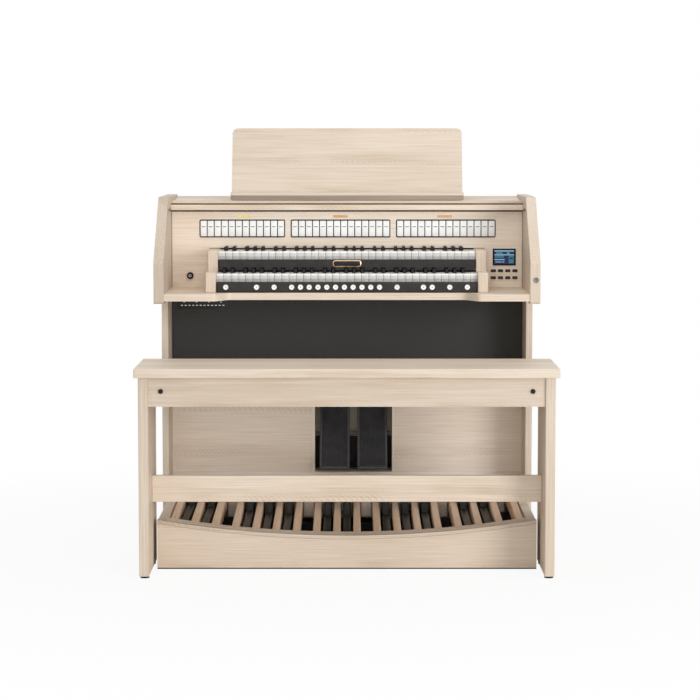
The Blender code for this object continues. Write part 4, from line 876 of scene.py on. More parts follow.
@dataclass
class Manual:
    """One manual of 36 naturals and 25 sharps, with one of each kind free to move."""

    name: str
    naturals: int = 36
    pitch: float = 0.0235
    gap: float = 0.001
    height: float = 0.026
    head: float = 0.050
    length: float = 0.2197
    fixed_length: float = 0.2350
    lip: float = 0.0165
    lip_back: float = 0.0015
    brow: float = 0.0045
    neck_step: float = 0.0004
    edge: float = 0.0007
    sharp_width: float = 0.011
    sharp_gap: float = 0.0012
    sharp_rise: float = 0.013
    sharp_length: float = 0.095
    sharp_slope: float = 0.008
    sharp_setback: float = 0.051
    sharp_taper: float = 0.84
    sharp_edge: float = 0.0012
    tail_drop: float = 0.004
    moving_natural: int = 14
    moving_sharp: int = 17
    bar_drop: float = 0.006
    comb_gap: float = 0.0055
    comb_depth: float = 0.0020

    # How far each sharp of the octave stands off the joint of its naturals
    SHIFTS = {0: -0.002, 1: 0.002, 3: -0.003, 4: 0.0, 5: 0.003}

    def __post_init__(self) -> None:
        """Take the manual's place from the key that moves and the set that doesn't."""
        low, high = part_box(f"{self.name}_natural_key")
        self.front = low.y
        self.top = high.z
        self.left = low.x - self.gap / 2 - self.moving_natural * self.pitch
        self.set_low, self.set_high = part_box(f"{self.name}_keyset")
        self.places = [i for i in range(self.naturals - 1) if i % 7 in self.SHIFTS]

    def notch(self, index: int, side: int) -> float:
        """Measure how far a natural's tail is cut back on one side.

        Args:
            index: Which natural, from the left.
            side: -1 for its left side, 1 for its right.

        Returns:
            The depth of the notch, 0 where no sharp stands.
        """
        sharp = index if side > 0 else index - 1
        if not 0 <= sharp < self.naturals - 1 or sharp % 7 not in self.SHIFTS:
            return 0.0
        shift = self.SHIFTS[sharp % 7]
        return self.sharp_width / 2 + self.sharp_gap - side * shift - self.gap / 2

    def natural(self, name: str, index: int, length: float) -> Piece:
        """Shape one natural: a head with a lip, and a tail notched beside the sharps.

        Args:
            name: The piece's name.
            index: Which natural, from the left.
            length: How long it is.

        Returns:
            The key in its place.
        """
        left = self.left + index * self.pitch + self.gap / 2
        right = left + self.pitch - self.gap
        key = add_block(
            name, (left, self.front, self.top - self.height), (right, self.front + length, self.top)
        )
        neck = self.front + self.head
        shelf = self.top - self.lip
        with editing(key):
            slice_piece((0, neck, 0), (0, 1, 0))
            slice_piece((0, neck + self.neck_step, 0), (0, 1, 0))
            slice_piece((0, 0, self.top - self.brow), (0, 0, 1))
            slice_piece((0, 0, shelf), (0, 0, 1))
            slice_piece((0, 0, shelf - self.neck_step), (0, 0, 1))
            for side, edge in ((-1, left), (1, right)):
                select_points(key, lambda p, x=edge: p.y > neck + 0.0001 and abs(p.x - x) < 0.0001)
                bpy.ops.transform.translate(value=(-side * self.notch(index, side), 0, 0))
            select_points(key, lambda p: p.y < self.front + 0.0001 and p.z < shelf - 0.0001)
            bpy.ops.transform.translate(value=(0, self.lip_back, 0))
        ease_edges(key, self.edge)
        return key

    def sharp(self, name: str, index: int, length: float) -> Piece:
        """Shape one sharp: a tapered cap that slopes at the front, on a low tail.

        Args:
            name: The piece's name.
            index: The natural on its left.
            length: How far behind the naturals' front it ends.

        Returns:
            The key in its place.
        """
        middle = self.left + (index + 1) * self.pitch + self.SHIFTS[index % 7]
        half = self.sharp_width / 2
        start = self.front + self.sharp_setback
        tail = self.top - self.tail_drop
        crown = self.top + self.sharp_rise
        key = add_block(
            name,
            (middle - half, start, self.top - self.height),
            (middle + half, self.front + length, tail),
        )
        with editing(key):
            slice_piece((0, start + self.sharp_length, 0), (0, 1, 0))
            select_faces(key, lambda f: f.normal.z > 0.9 and f.calc_center_median().y < start + self.sharp_length)
            bpy.ops.mesh.extrude_region_move(TRANSFORM_OT_translate={"value": (0, 0, self.tail_drop)})
            bpy.ops.mesh.extrude_region_move(TRANSFORM_OT_translate={"value": (0, 0, self.sharp_rise)})
            bpy.ops.transform.resize(value=(self.sharp_taper, 1, 1), center_override=(middle, start, crown))
            select_points(key, lambda p: p.z > crown - 0.0001 and p.y < start + 0.0001)
            bpy.ops.transform.translate(value=(0, self.sharp_slope, 0))
        ease_edges(key, self.sharp_edge, segments=3, angle=20)
        return key

    def build_naturals(self) -> None:
        """Make the naturals, each form once, and set all of them but one on the key bar."""
        forms: dict[tuple[float, float], tuple[Piece, int]] = {}
        keys: list[Piece] = []
        for index in range(self.naturals):
            if index == self.moving_natural:
                continue
            form = (round(self.notch(index, -1), 5), round(self.notch(index, 1), 5))
            if form not in forms:
                key = self.natural(f"{self.name}_natural_{index}", index, self.fixed_length)
                forms[form] = (key, index)
            else:
                twin, first = forms[form]
                key = copied(twin, f"{self.name}_natural_{index}", ((index - first) * self.pitch, 0, 0))
            keys.append(key)
        naturals = joined(f"{self.name}_naturals", keys)
        finish_piece(naturals, WHITE_KEY, "console", "white_key_plastic", f"{self.name}_keyset")
        moving = self.natural(f"{self.name}_natural", self.moving_natural, self.length)
        body = f"{self.name}_natural_key"
        finish_piece(moving, WHITE_KEY, body, "white_key_plastic", body)
        shelf = self.top - self.lip
        brow = self.top - self.brow
        # Painted shade on the key fronts: grey below the brow, darker on the recessed foot
        for piece in (naturals, moving):
            part_finish(piece, KEY_FRONT_SHADE, lambda f: faces_front(f) and shelf < f.center.z < brow)
            part_finish(piece, KEY_FOOT_SHADE, lambda f: f.normal.y < -0.5 and f.center.z < shelf)

    def build_sharps(self) -> None:
        """Make the sharps from one, and set all of them but one on the key bar."""
        first = self.places[0]
        pattern = self.sharp(f"{self.name}_sharp_{first}", first, self.fixed_length)
        keys = [pattern]
        for index in self.places[1:]:
            if index == self.moving_sharp:
                continue
            step = (index - first) * self.pitch + self.SHIFTS[index % 7] - self.SHIFTS[first % 7]
            keys.append(copied(pattern, f"{self.name}_sharp_{index}", (step, 0, 0)))
        sharps = joined(f"{self.name}_sharps", keys)
        finish_piece(sharps, BLACK_KEY, "console", "black_key_plastic")
        moving = self.sharp(f"{self.name}_sharp", self.moving_sharp, self.length)
        body = f"{self.name}_sharp_key"
        finish_piece(moving, BLACK_KEY, body, "black_key_plastic", body)

    def build_comb(self, rail: str) -> None:
        """Hang a slotted skirt under a rail, which closes the gap between the sharps.

        Args:
            rail: The rail above the keys.
        """
        low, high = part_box(rail)
        half = self.sharp_width / 2 + self.sharp_gap
        edges = [low.x]
        for index in self.places:
            middle = self.left + (index + 1) * self.pitch + self.SHIFTS[index % 7]
            edges += [middle - half, middle + half]
        edges.append(high.x)
        front = low.y + SKIN
        teeth = []
        for left, right in zip(edges[::2], edges[1::2]):
            tooth = add_block(
                "tooth", (left, front, self.top + self.comb_gap), (right, front + self.comb_depth, low.z - SKIN / 10)
            )
            ease_edges(tooth, SKIN, segments=1)
            teeth.append(tooth)
        finish_piece(joined(f"{self.name}_key_comb", teeth), BLACK_RAIL, "console", "black_rail")

    def build_bar(self) -> None:
        """Make the steel bar that the fixed keys stand on at their rear ends."""
        bar = add_block(
            f"{self.name}_key_bar",
            (self.set_low.x, self.front + self.length + self.neck_step, self.set_low.z),
            (self.set_high.x, self.set_high.y, self.top - self.bar_drop),
        )
        with editing(bar):
            select_faces(bar, lambda f: f.normal.z > 0.9)
            bpy.ops.mesh.inset(thickness=0.003)
            bpy.ops.transform.translate(value=(0, 0, -0.001))
        ease_edges(bar, self.edge)
        finish_piece(bar, ZINC, "console", "steel")

    def build(self) -> None:
        """Make the whole manual."""
        self.build_naturals()
        self.build_sharps()
        self.build_bar()


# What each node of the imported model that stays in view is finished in
CASE_FINISHES: dict[str, Finish] = {
    "left_cheek": ASH_LEFT_CHEEK_SHADED,
    "right_cheek": ASH_CHEEK,
    "left_case_side": ASH_SIDE,
    "right_case_side": ASH_SIDE,
    "case_back": ASH_BACK,
    "roof_board": ASH_ROOF,
    "roll_top": ASH_SLATS,
    "stop_fascia": ASH_FASCIA,
    "keybed": ASH_KEYBED,
    "left_key_block": ASH_BLOCK,
    "right_key_block": ASH_BLOCK,
    "upper_keyslip": BLACK_RAIL,
    "desk_board": ASH_DESK,
    "speaker_grille": GRILLE_CLOTH,
    "speaker_baffle": INNER_BOARD,
    "left_speaker": SPEAKER_CONE,
    "right_speaker": SPEAKER_CONE,
    "sound_module": ZINC,
    "knee_panel": ASH_KNEE,
    "expression_box": RECESS_SHADE_BOARD,
    "expression_shaft": SHAFT_SHADE_PAINT,
    "kick_board": ASH_KICK,
    "heel_rail": ASH_HEEL_LIT,
    "left_pedalboard_side": ASH_RAIL,
    "right_pedalboard_side": ASH_RAIL,
    "pedal_stop_rail": PEDAL_FELT,
    "bench_seat": ASH_SEAT,
    "left_bench_leg": ASH_LEG,
    "right_bench_leg": ASH_LEG,
    "bench_apron": ASH_APRON,
    "bench_stretcher": ASH_RAIL,
}


def add_outline(name: str, outline: list[tuple[float, float]], low: float, high: float) -> Piece:
    """Pull a filled ring to a side view and extrude it along X.

    Args:
        name: The piece's name.
        outline: The y and z of the side view's corners, in order.
        low: The x of its left face.
        high: The x of its right face.

    Returns:
        The piece, closed and with its faces outward.
    """
    bpy.ops.object.select_all(action="DESELECT")
    bpy.ops.mesh.primitive_circle_add(vertices=len(outline), radius=0.1, fill_type="NGON")
    piece = settled(name)
    with editing(piece):
        shape = bmesh.from_edit_mesh(piece.data)
        for point, (y, z) in zip(shape.verts, outline):
            point.co = (low, y, z)
        bmesh.update_edit_mesh(piece.data)
        bpy.ops.mesh.select_all(action="SELECT")
        bpy.ops.mesh.extrude_region_move(TRANSFORM_OT_translate={"value": (high - low, 0, 0)})
        bpy.ops.mesh.select_all(action="SELECT")
        bpy.ops.mesh.normals_make_consistent(inside=False)
    return piece


@dataclass
class Pedalboard:
    """The concave pedalboard's 30 foot pedals on their heel beam."""

    pitch: float = 0.065
    naturals: int = 18
    half_width: float = 0.5965
    kick_height: float = 0.150
    sag: float = 0.050
    start: float = -0.2360
    free_start: float = -0.2207
    heel: float = -0.2107
    end: float = 0.3460
    underside: float = 0.046
    taper: float = 0.009
    rise: float = 0.018
    tongue_drop: float = 0.026
    natural_width: float = 0.0238
    natural_drop: float = 0.004
    sharp_width: float = 0.024
    lever_drop: float = 0.008
    cap_front: float = 0.158
    cap_rise: float = 0.044
    cap_slope: float = 0.030
    cap_joint: float = 0.0005
    cap_taper: float = 0.95
    beam_front: float = -0.2510
    beam_rear: float = -0.2210
    beam_top: float = 0.0183
    beam_underside: float = 0.060
    beam_inset: float = 0.0283
    bow_steps: int = 32
    round: float = 0.0035

    SHARPS = (0, 1, 3, 4, 5)

    def arc(self, x: float) -> float:
        """Find how high the pedalboard's curve stands at one place across it.

        Args:
            x: The place across the board.

        Returns:
            The height above the floor.
        """
        radius = (self.half_width**2 + self.sag**2) / (2 * self.sag)
        return self.kick_height - self.sag + radius - math.sqrt(radius**2 - x**2)

    def lever(self, x: float, start: float, sharp: bool, name: str) -> Piece:
        """Shape one wooden lever with its tongue at the heel.

        Args:
            x: The middle of the lever.
            start: Where its tongue begins.
            sharp: Whether it is a sharp's, level and black, and not a natural's, which rises.
            name: The piece's name.

        Returns:
            The lever in its place.
        """
        base = self.arc(x)
        width = self.sharp_width if sharp else self.natural_width
        drop = self.lever_drop if sharp else self.natural_drop
        rise = 0.0 if sharp else self.rise
        side = [
            (start, base - self.underside),
            (self.end, base - self.underside + self.taper),
            (self.end, base - drop + rise),
            (self.heel, base - drop),
            (self.heel, base - self.tongue_drop),
            (start, base - self.tongue_drop),
        ]
        lever = add_outline(name, side, x - width / 2, x + width / 2)
        ease_edges(lever, self.round / 2 if sharp else self.round, segments=3)
        return lever

    def cap(self, x: float, name: str) -> Piece:
        """Shape the black cap that a sharp carries at its far end.

        Args:
            x: The middle of the pedal.
            name: The piece's name.

        Returns:
            The cap in its place.
        """
        foot = self.arc(x) - self.lever_drop - self.cap_joint
        crown = self.arc(x) - self.lever_drop + self.cap_rise
        side = [
            (self.cap_front, foot),
            (self.end, foot),
            (self.end, crown),
            (self.cap_front + self.cap_slope, crown),
        ]
        half = self.sharp_width / 2
        cap = add_outline(name, side, x - half, x + half)
        with editing(cap):
            select_points(cap, lambda p: p.z > crown - 0.0001)
            bpy.ops.transform.resize(value=(self.cap_taper, 1, 1), center_override=(x, 0, crown))
        ease_edges(cap, self.round, segments=4, angle=20)
        return cap

    def place(self, step: int, sharp: bool) -> float:
        """Find the middle of a pedal, counted from the lowest natural."""
        return (step + (0.5 if sharp else 0.0) - (self.naturals - 1) / 2) * self.pitch

    def sharp_steps(self) -> list[int]:
        """List the naturals that have a sharp on their right, the lowest first."""
        return [step for step in range(self.naturals - 1) if step % 7 in self.SHARPS]

    def bowed(self, name: str, low: Place, high: Place) -> Piece:
        """Shape a bar that follows the board's curve.

        Args:
            name: The piece's name.
            low: Its lowest corner, with the height counted from the curve.
            high: Its highest corner, likewise.

        Returns:
            The bar in its place.
        """
        bar = add_block(name, low, high)
        with editing(bar):
            for step in range(1, self.bow_steps):
                slice_piece((low[0] + (high[0] - low[0]) * step / self.bow_steps, 0, 0), (1, 0, 0))
            shape = bmesh.from_edit_mesh(bar.data)
            for point in shape.verts:
                point.co.z += self.arc(point.co.x)
            bmesh.update_edit_mesh(bar.data)
        return bar

    def build_beam(self) -> Piece:
        """Shape the curved heel beam that the fixed pedals grow from.

        Returns:
            The beam in its place.
        """
        half = self.half_width - self.beam_inset
        beam = self.bowed(
            "heel_beam",
            (-half, self.beam_front, -self.beam_underside),
            (half, self.beam_rear, -self.beam_top),
        )
        ease_edges(beam, 0.001)
        return beam

    def build(self) -> None:
        """Make the pedals: all but the lowest two on the beam, those two on their own."""
        steps = self.sharp_steps()[1:]
        levers = [self.build_beam()]
        for step in range(1, self.naturals):
            x = self.place(step, False)
            levers.append(self.lever(x, self.start, False, "natural"))
        finish_piece(
            joined("pedal_naturals", levers), MAPLE_PEDAL, "pedalboard", "pedal_wood", "pedal_set"
        )
        bars = [self.lever(self.place(s, True), self.start, True, "bar") for s in steps]
        finish_piece(joined("pedal_sharp_levers", bars), PEDAL_CAP, "pedalboard", "pedal_cap")
        caps = [self.cap(self.place(s, True), "cap") for s in steps]
        finish_piece(joined("pedal_sharp_caps", caps), PEDAL_CAP, "pedalboard", "pedal_cap")
        low = self.lever(self.place(0, False), self.free_start, False, "low_natural")
        finish_piece(low, MAPLE_PEDAL, "low_c_pedal", "pedal_wood", "low_c_pedal")
        x = self.place(0, True)
        bar = self.lever(x, self.free_start, True, "low_sharp_lever")
        finish_piece(bar, PEDAL_CAP, "low_c_sharp_pedal", "pedal_cap", "low_c_sharp_pedal")
        cap = self.cap(x, "low_sharp_cap")
        finish_piece(cap, PEDAL_CAP, "low_c_sharp_pedal", "pedal_cap")


@dataclass
class KickTrim:
    """What finishes the kick board: a lipping on its curved edge, a fine dark line that paints the shadow of the
    groove under it, and a dark foot that paints its contact shadow.
    """

    pedals: Pedalboard
    gap: float = 0.0003
    lipping: float = 0.0060
    line_top: float = -0.0040
    line_foot: float = -0.0053
    line_stand: float = 0.0004
    foot: float = 0.0038

    def build(self) -> None:
        """Lay the lipping on the curved edge, the painted shadow line under it and the painted contact shadow on the
        floor.
        """
        low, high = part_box("kick_board")
        lipping = self.pedals.bowed(
            "kick_board_lipping", (low.x, low.y, self.gap), (high.x, high.y, self.lipping)
        )
        ease_edges(lipping, 0.0008)
        finish_piece(lipping, ASH_KICK, "pedalboard", "ash_laminate")
        # A dark strip of painted shadow in the groove under the lipping
        line = self.pedals.bowed(
            "kick_board_shadow_line",
            (low.x, low.y - self.line_stand, self.line_foot),
            (high.x, low.y - SKIN / 2, self.line_top),
        )
        ease_edges(line, SKIN / 2, segments=1)
        finish_piece(line, SHADE_BAND, "pedalboard", "ash_laminate")
        # A dark rubber strip at the floor that paints the board's contact shadow
        foot = add_block("kick_board_contact_shadow", (low.x, low.y + 0.0005, 0.0), (high.x, high.y, self.foot))
        ease_edges(foot, 0.0005)
        finish_piece(foot, GLIDE_RUBBER, "pedalboard", "pedal_rubber")


@dataclass
class ToeBoard:
    """The board behind the pedals' far ends: a slot for each pedal, and below it a black board that paints the shade
    under the case.
    """

    pedals: Pedalboard
    half_width: float = 0.5967
    front: float = 0.354
    rear: float = 0.372
    bottom: float = 0.059
    top: float = 0.2137
    post_width: float = 0.020
    post_foot: float = 0.012
    floor_top: float = 0.030
    floor_rear: float = 0.5057
    side_gap: float = 0.003
    head_gap: float = 0.005
    edge: float = 0.0006

    def slot(self, x: float, sharp: bool) -> Piece:
        """Shape what one pedal's slot takes out of the board.

        Args:
            x: The middle of the pedal.
            sharp: Whether the pedal is a sharp.

        Returns:
            The block to cut with, open at the board's lower edge.
        """
        board = self.pedals
        half = (board.sharp_width if sharp else board.natural_width) / 2 + self.side_gap
        head = board.cap_rise - board.lever_drop if sharp else board.rise - board.natural_drop
        top = board.arc(x) + head + self.head_gap
        slot = add_block(
            "slot", (x - half, self.front - 0.01, self.bottom - 0.01), (x + half, self.rear + 0.01, top)
        )
        return slot

    def build(self) -> None:
        """Make the slotted board with its end posts, and the bottom board behind it."""
        board = add_block(
            "slotted_toe_board",
            (-self.half_width, self.front, self.bottom),
            (self.half_width, self.rear, self.top),
        )
        naturals = range(self.pedals.naturals)
        slots = [self.slot(self.pedals.place(step, False), False) for step in naturals]
        slots += [self.slot(self.pedals.place(step, True), True) for step in self.pedals.sharp_steps()]
        slots = joined("slots", slots)
        apply_modifier(board, "BOOLEAN", object=slots, operation="DIFFERENCE", solver="EXACT")
        bpy.data.objects.remove(slots)
        ease_edges(board, self.edge)
        finish_piece(board, TOE_BOARD_LAMINATE, "console", "ash_inner_board", "toe_board")
        inner = self.half_width - self.post_width
        posts = [
            add_block("post", (left, self.front, self.post_foot), (left + self.post_width, self.rear, self.bottom))
            for left in (-self.half_width, inner)
        ]
        floor = add_block(
            "bottom_board",
            (-self.half_width, self.rear, self.post_foot),
            (self.half_width, self.floor_rear, self.floor_top),
        )
        low = joined("case_bottom_board", [floor, *posts])
        ease_edges(low, self.edge)
        finish_piece(low, RECESS_SHADE_BOARD, "console", "ash_inner_board")


@dataclass
class SwellPedal:
    """One swell pedal: a ribbed rubber tread with a raised rim, on a plate with two lugs."""

    name: str
    length: float = 0.270
    thick: float = 0.014
    lip: float = 0.010
    nose: float = 0.0127
    foot_rim: float = 0.0020
    lean: float = 60.0
    heel: tuple[float, float] = (0.299, 0.240)
    rim: float = 0.007
    floor_drop: float = 0.0035
    corner: float = 0.006
    bare_head: float = 0.030
    ribs: int = 12
    rib_rise: float = 0.0020
    lug_width: float = 0.012
    lug_radius: float = 0.012
    lug_inset: float = 0.012
    shaft_drop: float = 0.016
    shaft_radius: float = 0.0063

    def __post_init__(self) -> None:
        """Take the pedal's width from its node."""
        low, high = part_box(f"{self.name}_swell_pedal")
        self.left, self.right = low.x, high.x

    def leaned(self, piece: Piece) -> Piece:
        """Lean a piece modelled upright at the origin and set it on the pedal's heel."""
        turn = Matrix.Rotation(-math.radians(90 - self.lean), 4, "X")
        piece.data.transform(Matrix.Translation((0, *self.heel)) @ turn)
        return piece

    def build_plate(self) -> Piece:
        """Shape the plate, its toe lip at the heel and its raised rim.

        Returns:
            The plate, upright at the origin.
        """
        side = [
            (-self.lip, -self.nose),
            (self.thick, 0.0),
            (self.thick, self.length),
            (0.0, self.length),
            (0.0, 0.0),
            (-self.lip, -self.nose / 2),
        ]
        plate = add_outline(f"{self.name}_swell_rim", side, self.left, self.right)
        with editing(plate):
            select_faces(plate, lambda f: faces_front(f) and f.calc_center_median().z > self.rim)
            bpy.ops.mesh.inset(thickness=self.rim)
            bpy.ops.mesh.extrude_region_move(TRANSFORM_OT_translate={"value": (0, self.floor_drop, 0)})
            select_points(plate, lambda p: p.y > -0.0001 and p.y < self.thick - 0.0001 and 0.0001 < p.z < self.rim * 2)
            bpy.ops.transform.translate(value=(0, 0, self.foot_rim - self.rim))
            select_edges(plate, lambda a, b: runs_back(a, b) and max(a.z, b.z) < SKIN and min(a.y, b.y) < -SKIN)
            bpy.ops.mesh.bevel(offset=self.corner, segments=4)
        ease_edges(plate, 0.0012, segments=3)
        return plate

    def build_tread(self) -> Piece:
        """Shape the tread: one rib with tapered flanks, copied across the pedal.

        Returns:
            The tread, upright at the origin.
        """
        foot = self.foot_rim + 0.001
        head = self.length - self.rim - self.bare_head
        left = self.left + self.rim + 0.001
        pitch = (self.right - self.rim - 0.001 - left) / self.ribs
        low = (left, self.floor_drop - self.rib_rise, foot)
        rib = add_block("rib", low, (left + pitch * 0.8, self.floor_drop + 0.001, head))
        with editing(rib):
            select_faces(rib, faces_front)
            bpy.ops.transform.resize(
                value=(0.6, 1, 0.995), center_override=(left + pitch * 0.4, 0, (foot + head) / 2)
            )
        ease_edges(rib, 0.0004)
        ribs = [rib] + [copied(rib, "rib", (pitch * i, 0, 0)) for i in range(1, self.ribs)]
        return joined(f"{self.name}_swell_tread", ribs)

    def build_lug(self, left: float) -> Piece:
        """Shape one lug with the bore that turns on the shaft.

        Args:
            left: The x of its left face.

        Returns:
            The lug, upright at the origin.
        """
        middle = self.length / 2
        out = self.thick + self.shaft_drop
        side = [(self.thick - 0.002, middle - self.lug_radius), (self.thick - 0.002, middle + self.lug_radius)]
        for i in range(9):
            turn = math.pi * i / 8
            side.append((out + self.lug_radius * math.sin(turn), middle + self.lug_radius * math.cos(turn)))
        lug = add_outline("lug", side, left, left + self.lug_width)
        bpy.ops.object.select_all(action="DESELECT")
        bpy.ops.mesh.primitive_cylinder_add(
            vertices=24,
            radius=self.shaft_radius,
            depth=self.lug_width * 2,
            location=(left + self.lug_width / 2, out, middle),
            rotation=(0, math.pi / 2, 0),
        )
        bore = settled("bore")
        apply_modifier(lug, "BOOLEAN", object=bore, operation="DIFFERENCE", solver="EXACT")
        bpy.data.objects.remove(bore)
        ease_edges(lug, 0.0006)
        return lug

    def build(self) -> None:
        """Make the whole pedal."""
        body = f"{self.name}_swell_pedal"
        plate = self.build_plate()
        finish_piece(plate, RUBBER_RIM, body, "pedal_rubber", body)
        part_finish(plate, RUBBER, lambda f: faces_front(f) and f.center.y > self.floor_drop / 2)
        self.leaned(plate)
        finish_piece(self.leaned(self.build_tread()), RUBBER, body, "pedal_rubber")
        lugs = [
            self.build_lug(self.left + self.lug_inset),
            self.build_lug(self.right - self.lug_inset - self.lug_width),
        ]
        name = f"{self.name}_swell_lugs"
        finish_piece(self.leaned(joined(name, lugs)), RUBBER, body, "pedal_rubber")


def add_figure(name: str, words: str, middle: tuple[float, float], height: float, front: float) -> Piece:
    """Add thin figures that face the player.

    Args:
        name: The piece's name.
        words: The figures.
        middle: The x and z of their middle.
        height: How tall they are.
        front: The y of their front.

    Returns:
        The figures as a mesh.
    """
    bpy.ops.object.select_all(action="DESELECT")
    bpy.ops.object.text_add()
    text = bpy.context.object
    text.data.body = words
    text.data.size = height * 1.4
    text.data.extrude = SKIN / 2
    text.data.resolution_u = 3
    text.data.align_x = "CENTER"
    text.data.align_y = "CENTER"
    text.rotation_euler = (math.pi / 2, 0, 0)
    text.location = (middle[0], front + SKIN / 2, middle[1])
    pick(text)
    bpy.ops.object.convert(target="MESH")
    return settled(name)


def rounded_plate(name: str, low: Place, high: Place, corner: float, edge: float,
                  segments: int = 5) -> Piece:
    """Shape a plate that faces the player, with round corners and eased front edges.

    Args:
        name: The piece's name.
        low: Its lowest corner.
        high: Its highest corner.
        corner: The radius of its corners.
        edge: The radius of its edges.
        segments: How many facets each corner has.

    Returns:
        The plate in its place.
    """
    plate = add_block(name, low, high)
    with editing(plate):
        select_edges(plate, runs_back)
        bpy.ops.mesh.bevel(offset=corner, segments=segments)
    ease_edges(plate, edge)
    return plate


@dataclass
class TabBank:
    """One bank of rocking stop tabs in its black bezel, with one tab free to rock."""

    name: str
    count: int
    moving: int
    foil: Finish
    label_middle: float
    figures: tuple[str, ...]
    pitch: float = 0.0235
    tab_width: float = 0.0205
    crest: float = 0.0012
    tab_rear: float = 0.2420
    moving_rear: float = 0.2400
    bezel_front: float = 0.2360
    bezel_rear: float = 0.2570
    corner: float = 0.005
    border: float = 0.0016
    pocket: float = 0.0100
    gasket: float = 0.0010
    edge: float = 0.0009
    label_width: float = 0.049
    label_height: float = 0.008
    label_rise: float = 0.0075

    def __post_init__(self) -> None:
        """Take the bank's place from its nodes."""
        low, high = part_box(f"{self.name}_tab_bank")
        self.low, self.high = low, high
        self.tab_low, self.tab_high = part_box(f"{self.name}_stop_tab")
        self.middle = (low.x + high.x) / 2

    def tab_place(self, index: int) -> float:
        """Find the middle of a tab, counted from the left."""
        return self.middle + (index - (self.count - 1) / 2) * self.pitch

    def build_bezel(self) -> None:
        """Shape the bezel: a plate with round corners, its front sunk in a pocket."""
        bezel = rounded_plate(
            f"{self.name}_tab_bezel",
            (self.low.x, self.bezel_front, self.low.z),
            (self.high.x, self.bezel_rear, self.high.z),
            self.corner,
            0.0004,
        )
        with editing(bezel):
            select_faces(bezel, faces_front)
            bpy.ops.mesh.inset(thickness=self.border)
            bpy.ops.mesh.extrude_region_move(TRANSFORM_OT_translate={"value": (0, self.pocket, 0)})
        finish_piece(bezel, BLACK_ABS, "console", "black_key_plastic", f"{self.name}_tab_bank")
        face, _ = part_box("stop_fascia")
        gasket = rounded_plate(
            f"{self.name}_tab_gasket",
            (self.low.x - self.gasket, face.y - SKIN * 2, self.low.z - self.gasket),
            (self.high.x + self.gasket, face.y + SKIN, self.high.z + self.gasket),
            self.corner,
            SKIN,
        )
        finish_piece(gasket, DARK_FELT_AND_SHADE, "console", "black_key_plastic")

    def tab(self, index: int, rear: float) -> Piece:
        """Shape one tab: a plate with a crest across its middle, where it rocks.

        Args:
            index: Which tab, from the left.
            rear: The y of its rear face.

        Returns:
            The tab in its place.
        """
        x = self.tab_place(index)
        low, high = self.tab_low, self.tab_high
        middle = (low.z + high.z) / 2
        half = self.tab_width / 2
        tab = add_block(
            f"{self.name}_tab_{index}", (x - half, low.y + self.crest, low.z), (x + half, rear, high.z)
        )
        with editing(tab):
            slice_piece((0, 0, middle), (0, 0, 1))
            select_points(tab, lambda p: abs(p.z - middle) < 0.0001 and p.y < low.y + self.crest + 0.0001)
            bpy.ops.transform.translate(value=(0, -self.crest, 0))
        ease_edges(tab, self.edge, segments=3, angle=15)
        return tab

    def ink(self, index: int) -> Piece:
        """Print a tab: two short rules, and the length of its pipes in feet below them.

        Args:
            index: Which tab, from the left.

        Returns:
            The print, just off the tab's face.
        """
        x = self.tab_place(index)
        middle = (self.tab_low.z + self.tab_high.z) / 2
        front = self.tab_low.y + SKIN
        marks = [add_figure("figure", self.figures[index % len(self.figures)], (x, middle - 0.010), 0.0068,
                            front + self.crest * 0.36)]
        for rise, width in ((0.0048, 0.0125), (0.0010, 0.0085)):
            rule = add_block(
                "rule",
                (x - width / 2, front, middle + rise),
                (x + width / 2, front + SKIN, middle + rise + 0.0023),
            )
            ease_edges(rule, SKIN / 4, segments=1)
            marks.append(rule)
        return joined(f"{self.name}_ink_{index}", marks)

    def build_label(self) -> None:
        """Lay the blank foil label that stands over the bank on the fascia."""
        face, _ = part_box("stop_fascia")
        foot = self.high.z + self.label_rise
        half = self.label_width / 2
        label = rounded_plate(
            f"{self.name}_bank_label",
            (self.label_middle - half, face.y - SKIN * 2, foot),
            (self.label_middle + half, face.y + SKIN, foot + self.label_height),
            0.001,
            SKIN,
            segments=2,
        )
        finish_piece(label, self.foil, "console", "steel")

    def build(self) -> None:
        """Make the bezel, its tabs and their print, and the label."""
        self.build_bezel()
        fixed = [i for i in range(self.count) if i != self.moving]
        pattern = self.tab(fixed[0], self.tab_rear + 0.003)
        tabs = [pattern]
        for index in fixed[1:]:
            step = (index - fixed[0]) * self.pitch
            tabs.append(copied(pattern, f"{self.name}_tab_{index}", (step, 0, 0)))
        finish_piece(joined(f"{self.name}_tabs", tabs), TAB_PLASTIC, "console", "tab_plastic")
        ink = joined(f"{self.name}_tab_ink", [self.ink(i) for i in fixed])
        finish_piece(ink, TAB_INK, "console", "tab_plastic")
        body = f"{self.name}_stop_tab"
        rocker = self.tab(self.moving, self.moving_rear)
        finish_piece(rocker, TAB_PLASTIC, body, "tab_plastic", body)
        finish_piece(self.ink(self.moving), TAB_INK, body, "tab_plastic")
        self.build_label()


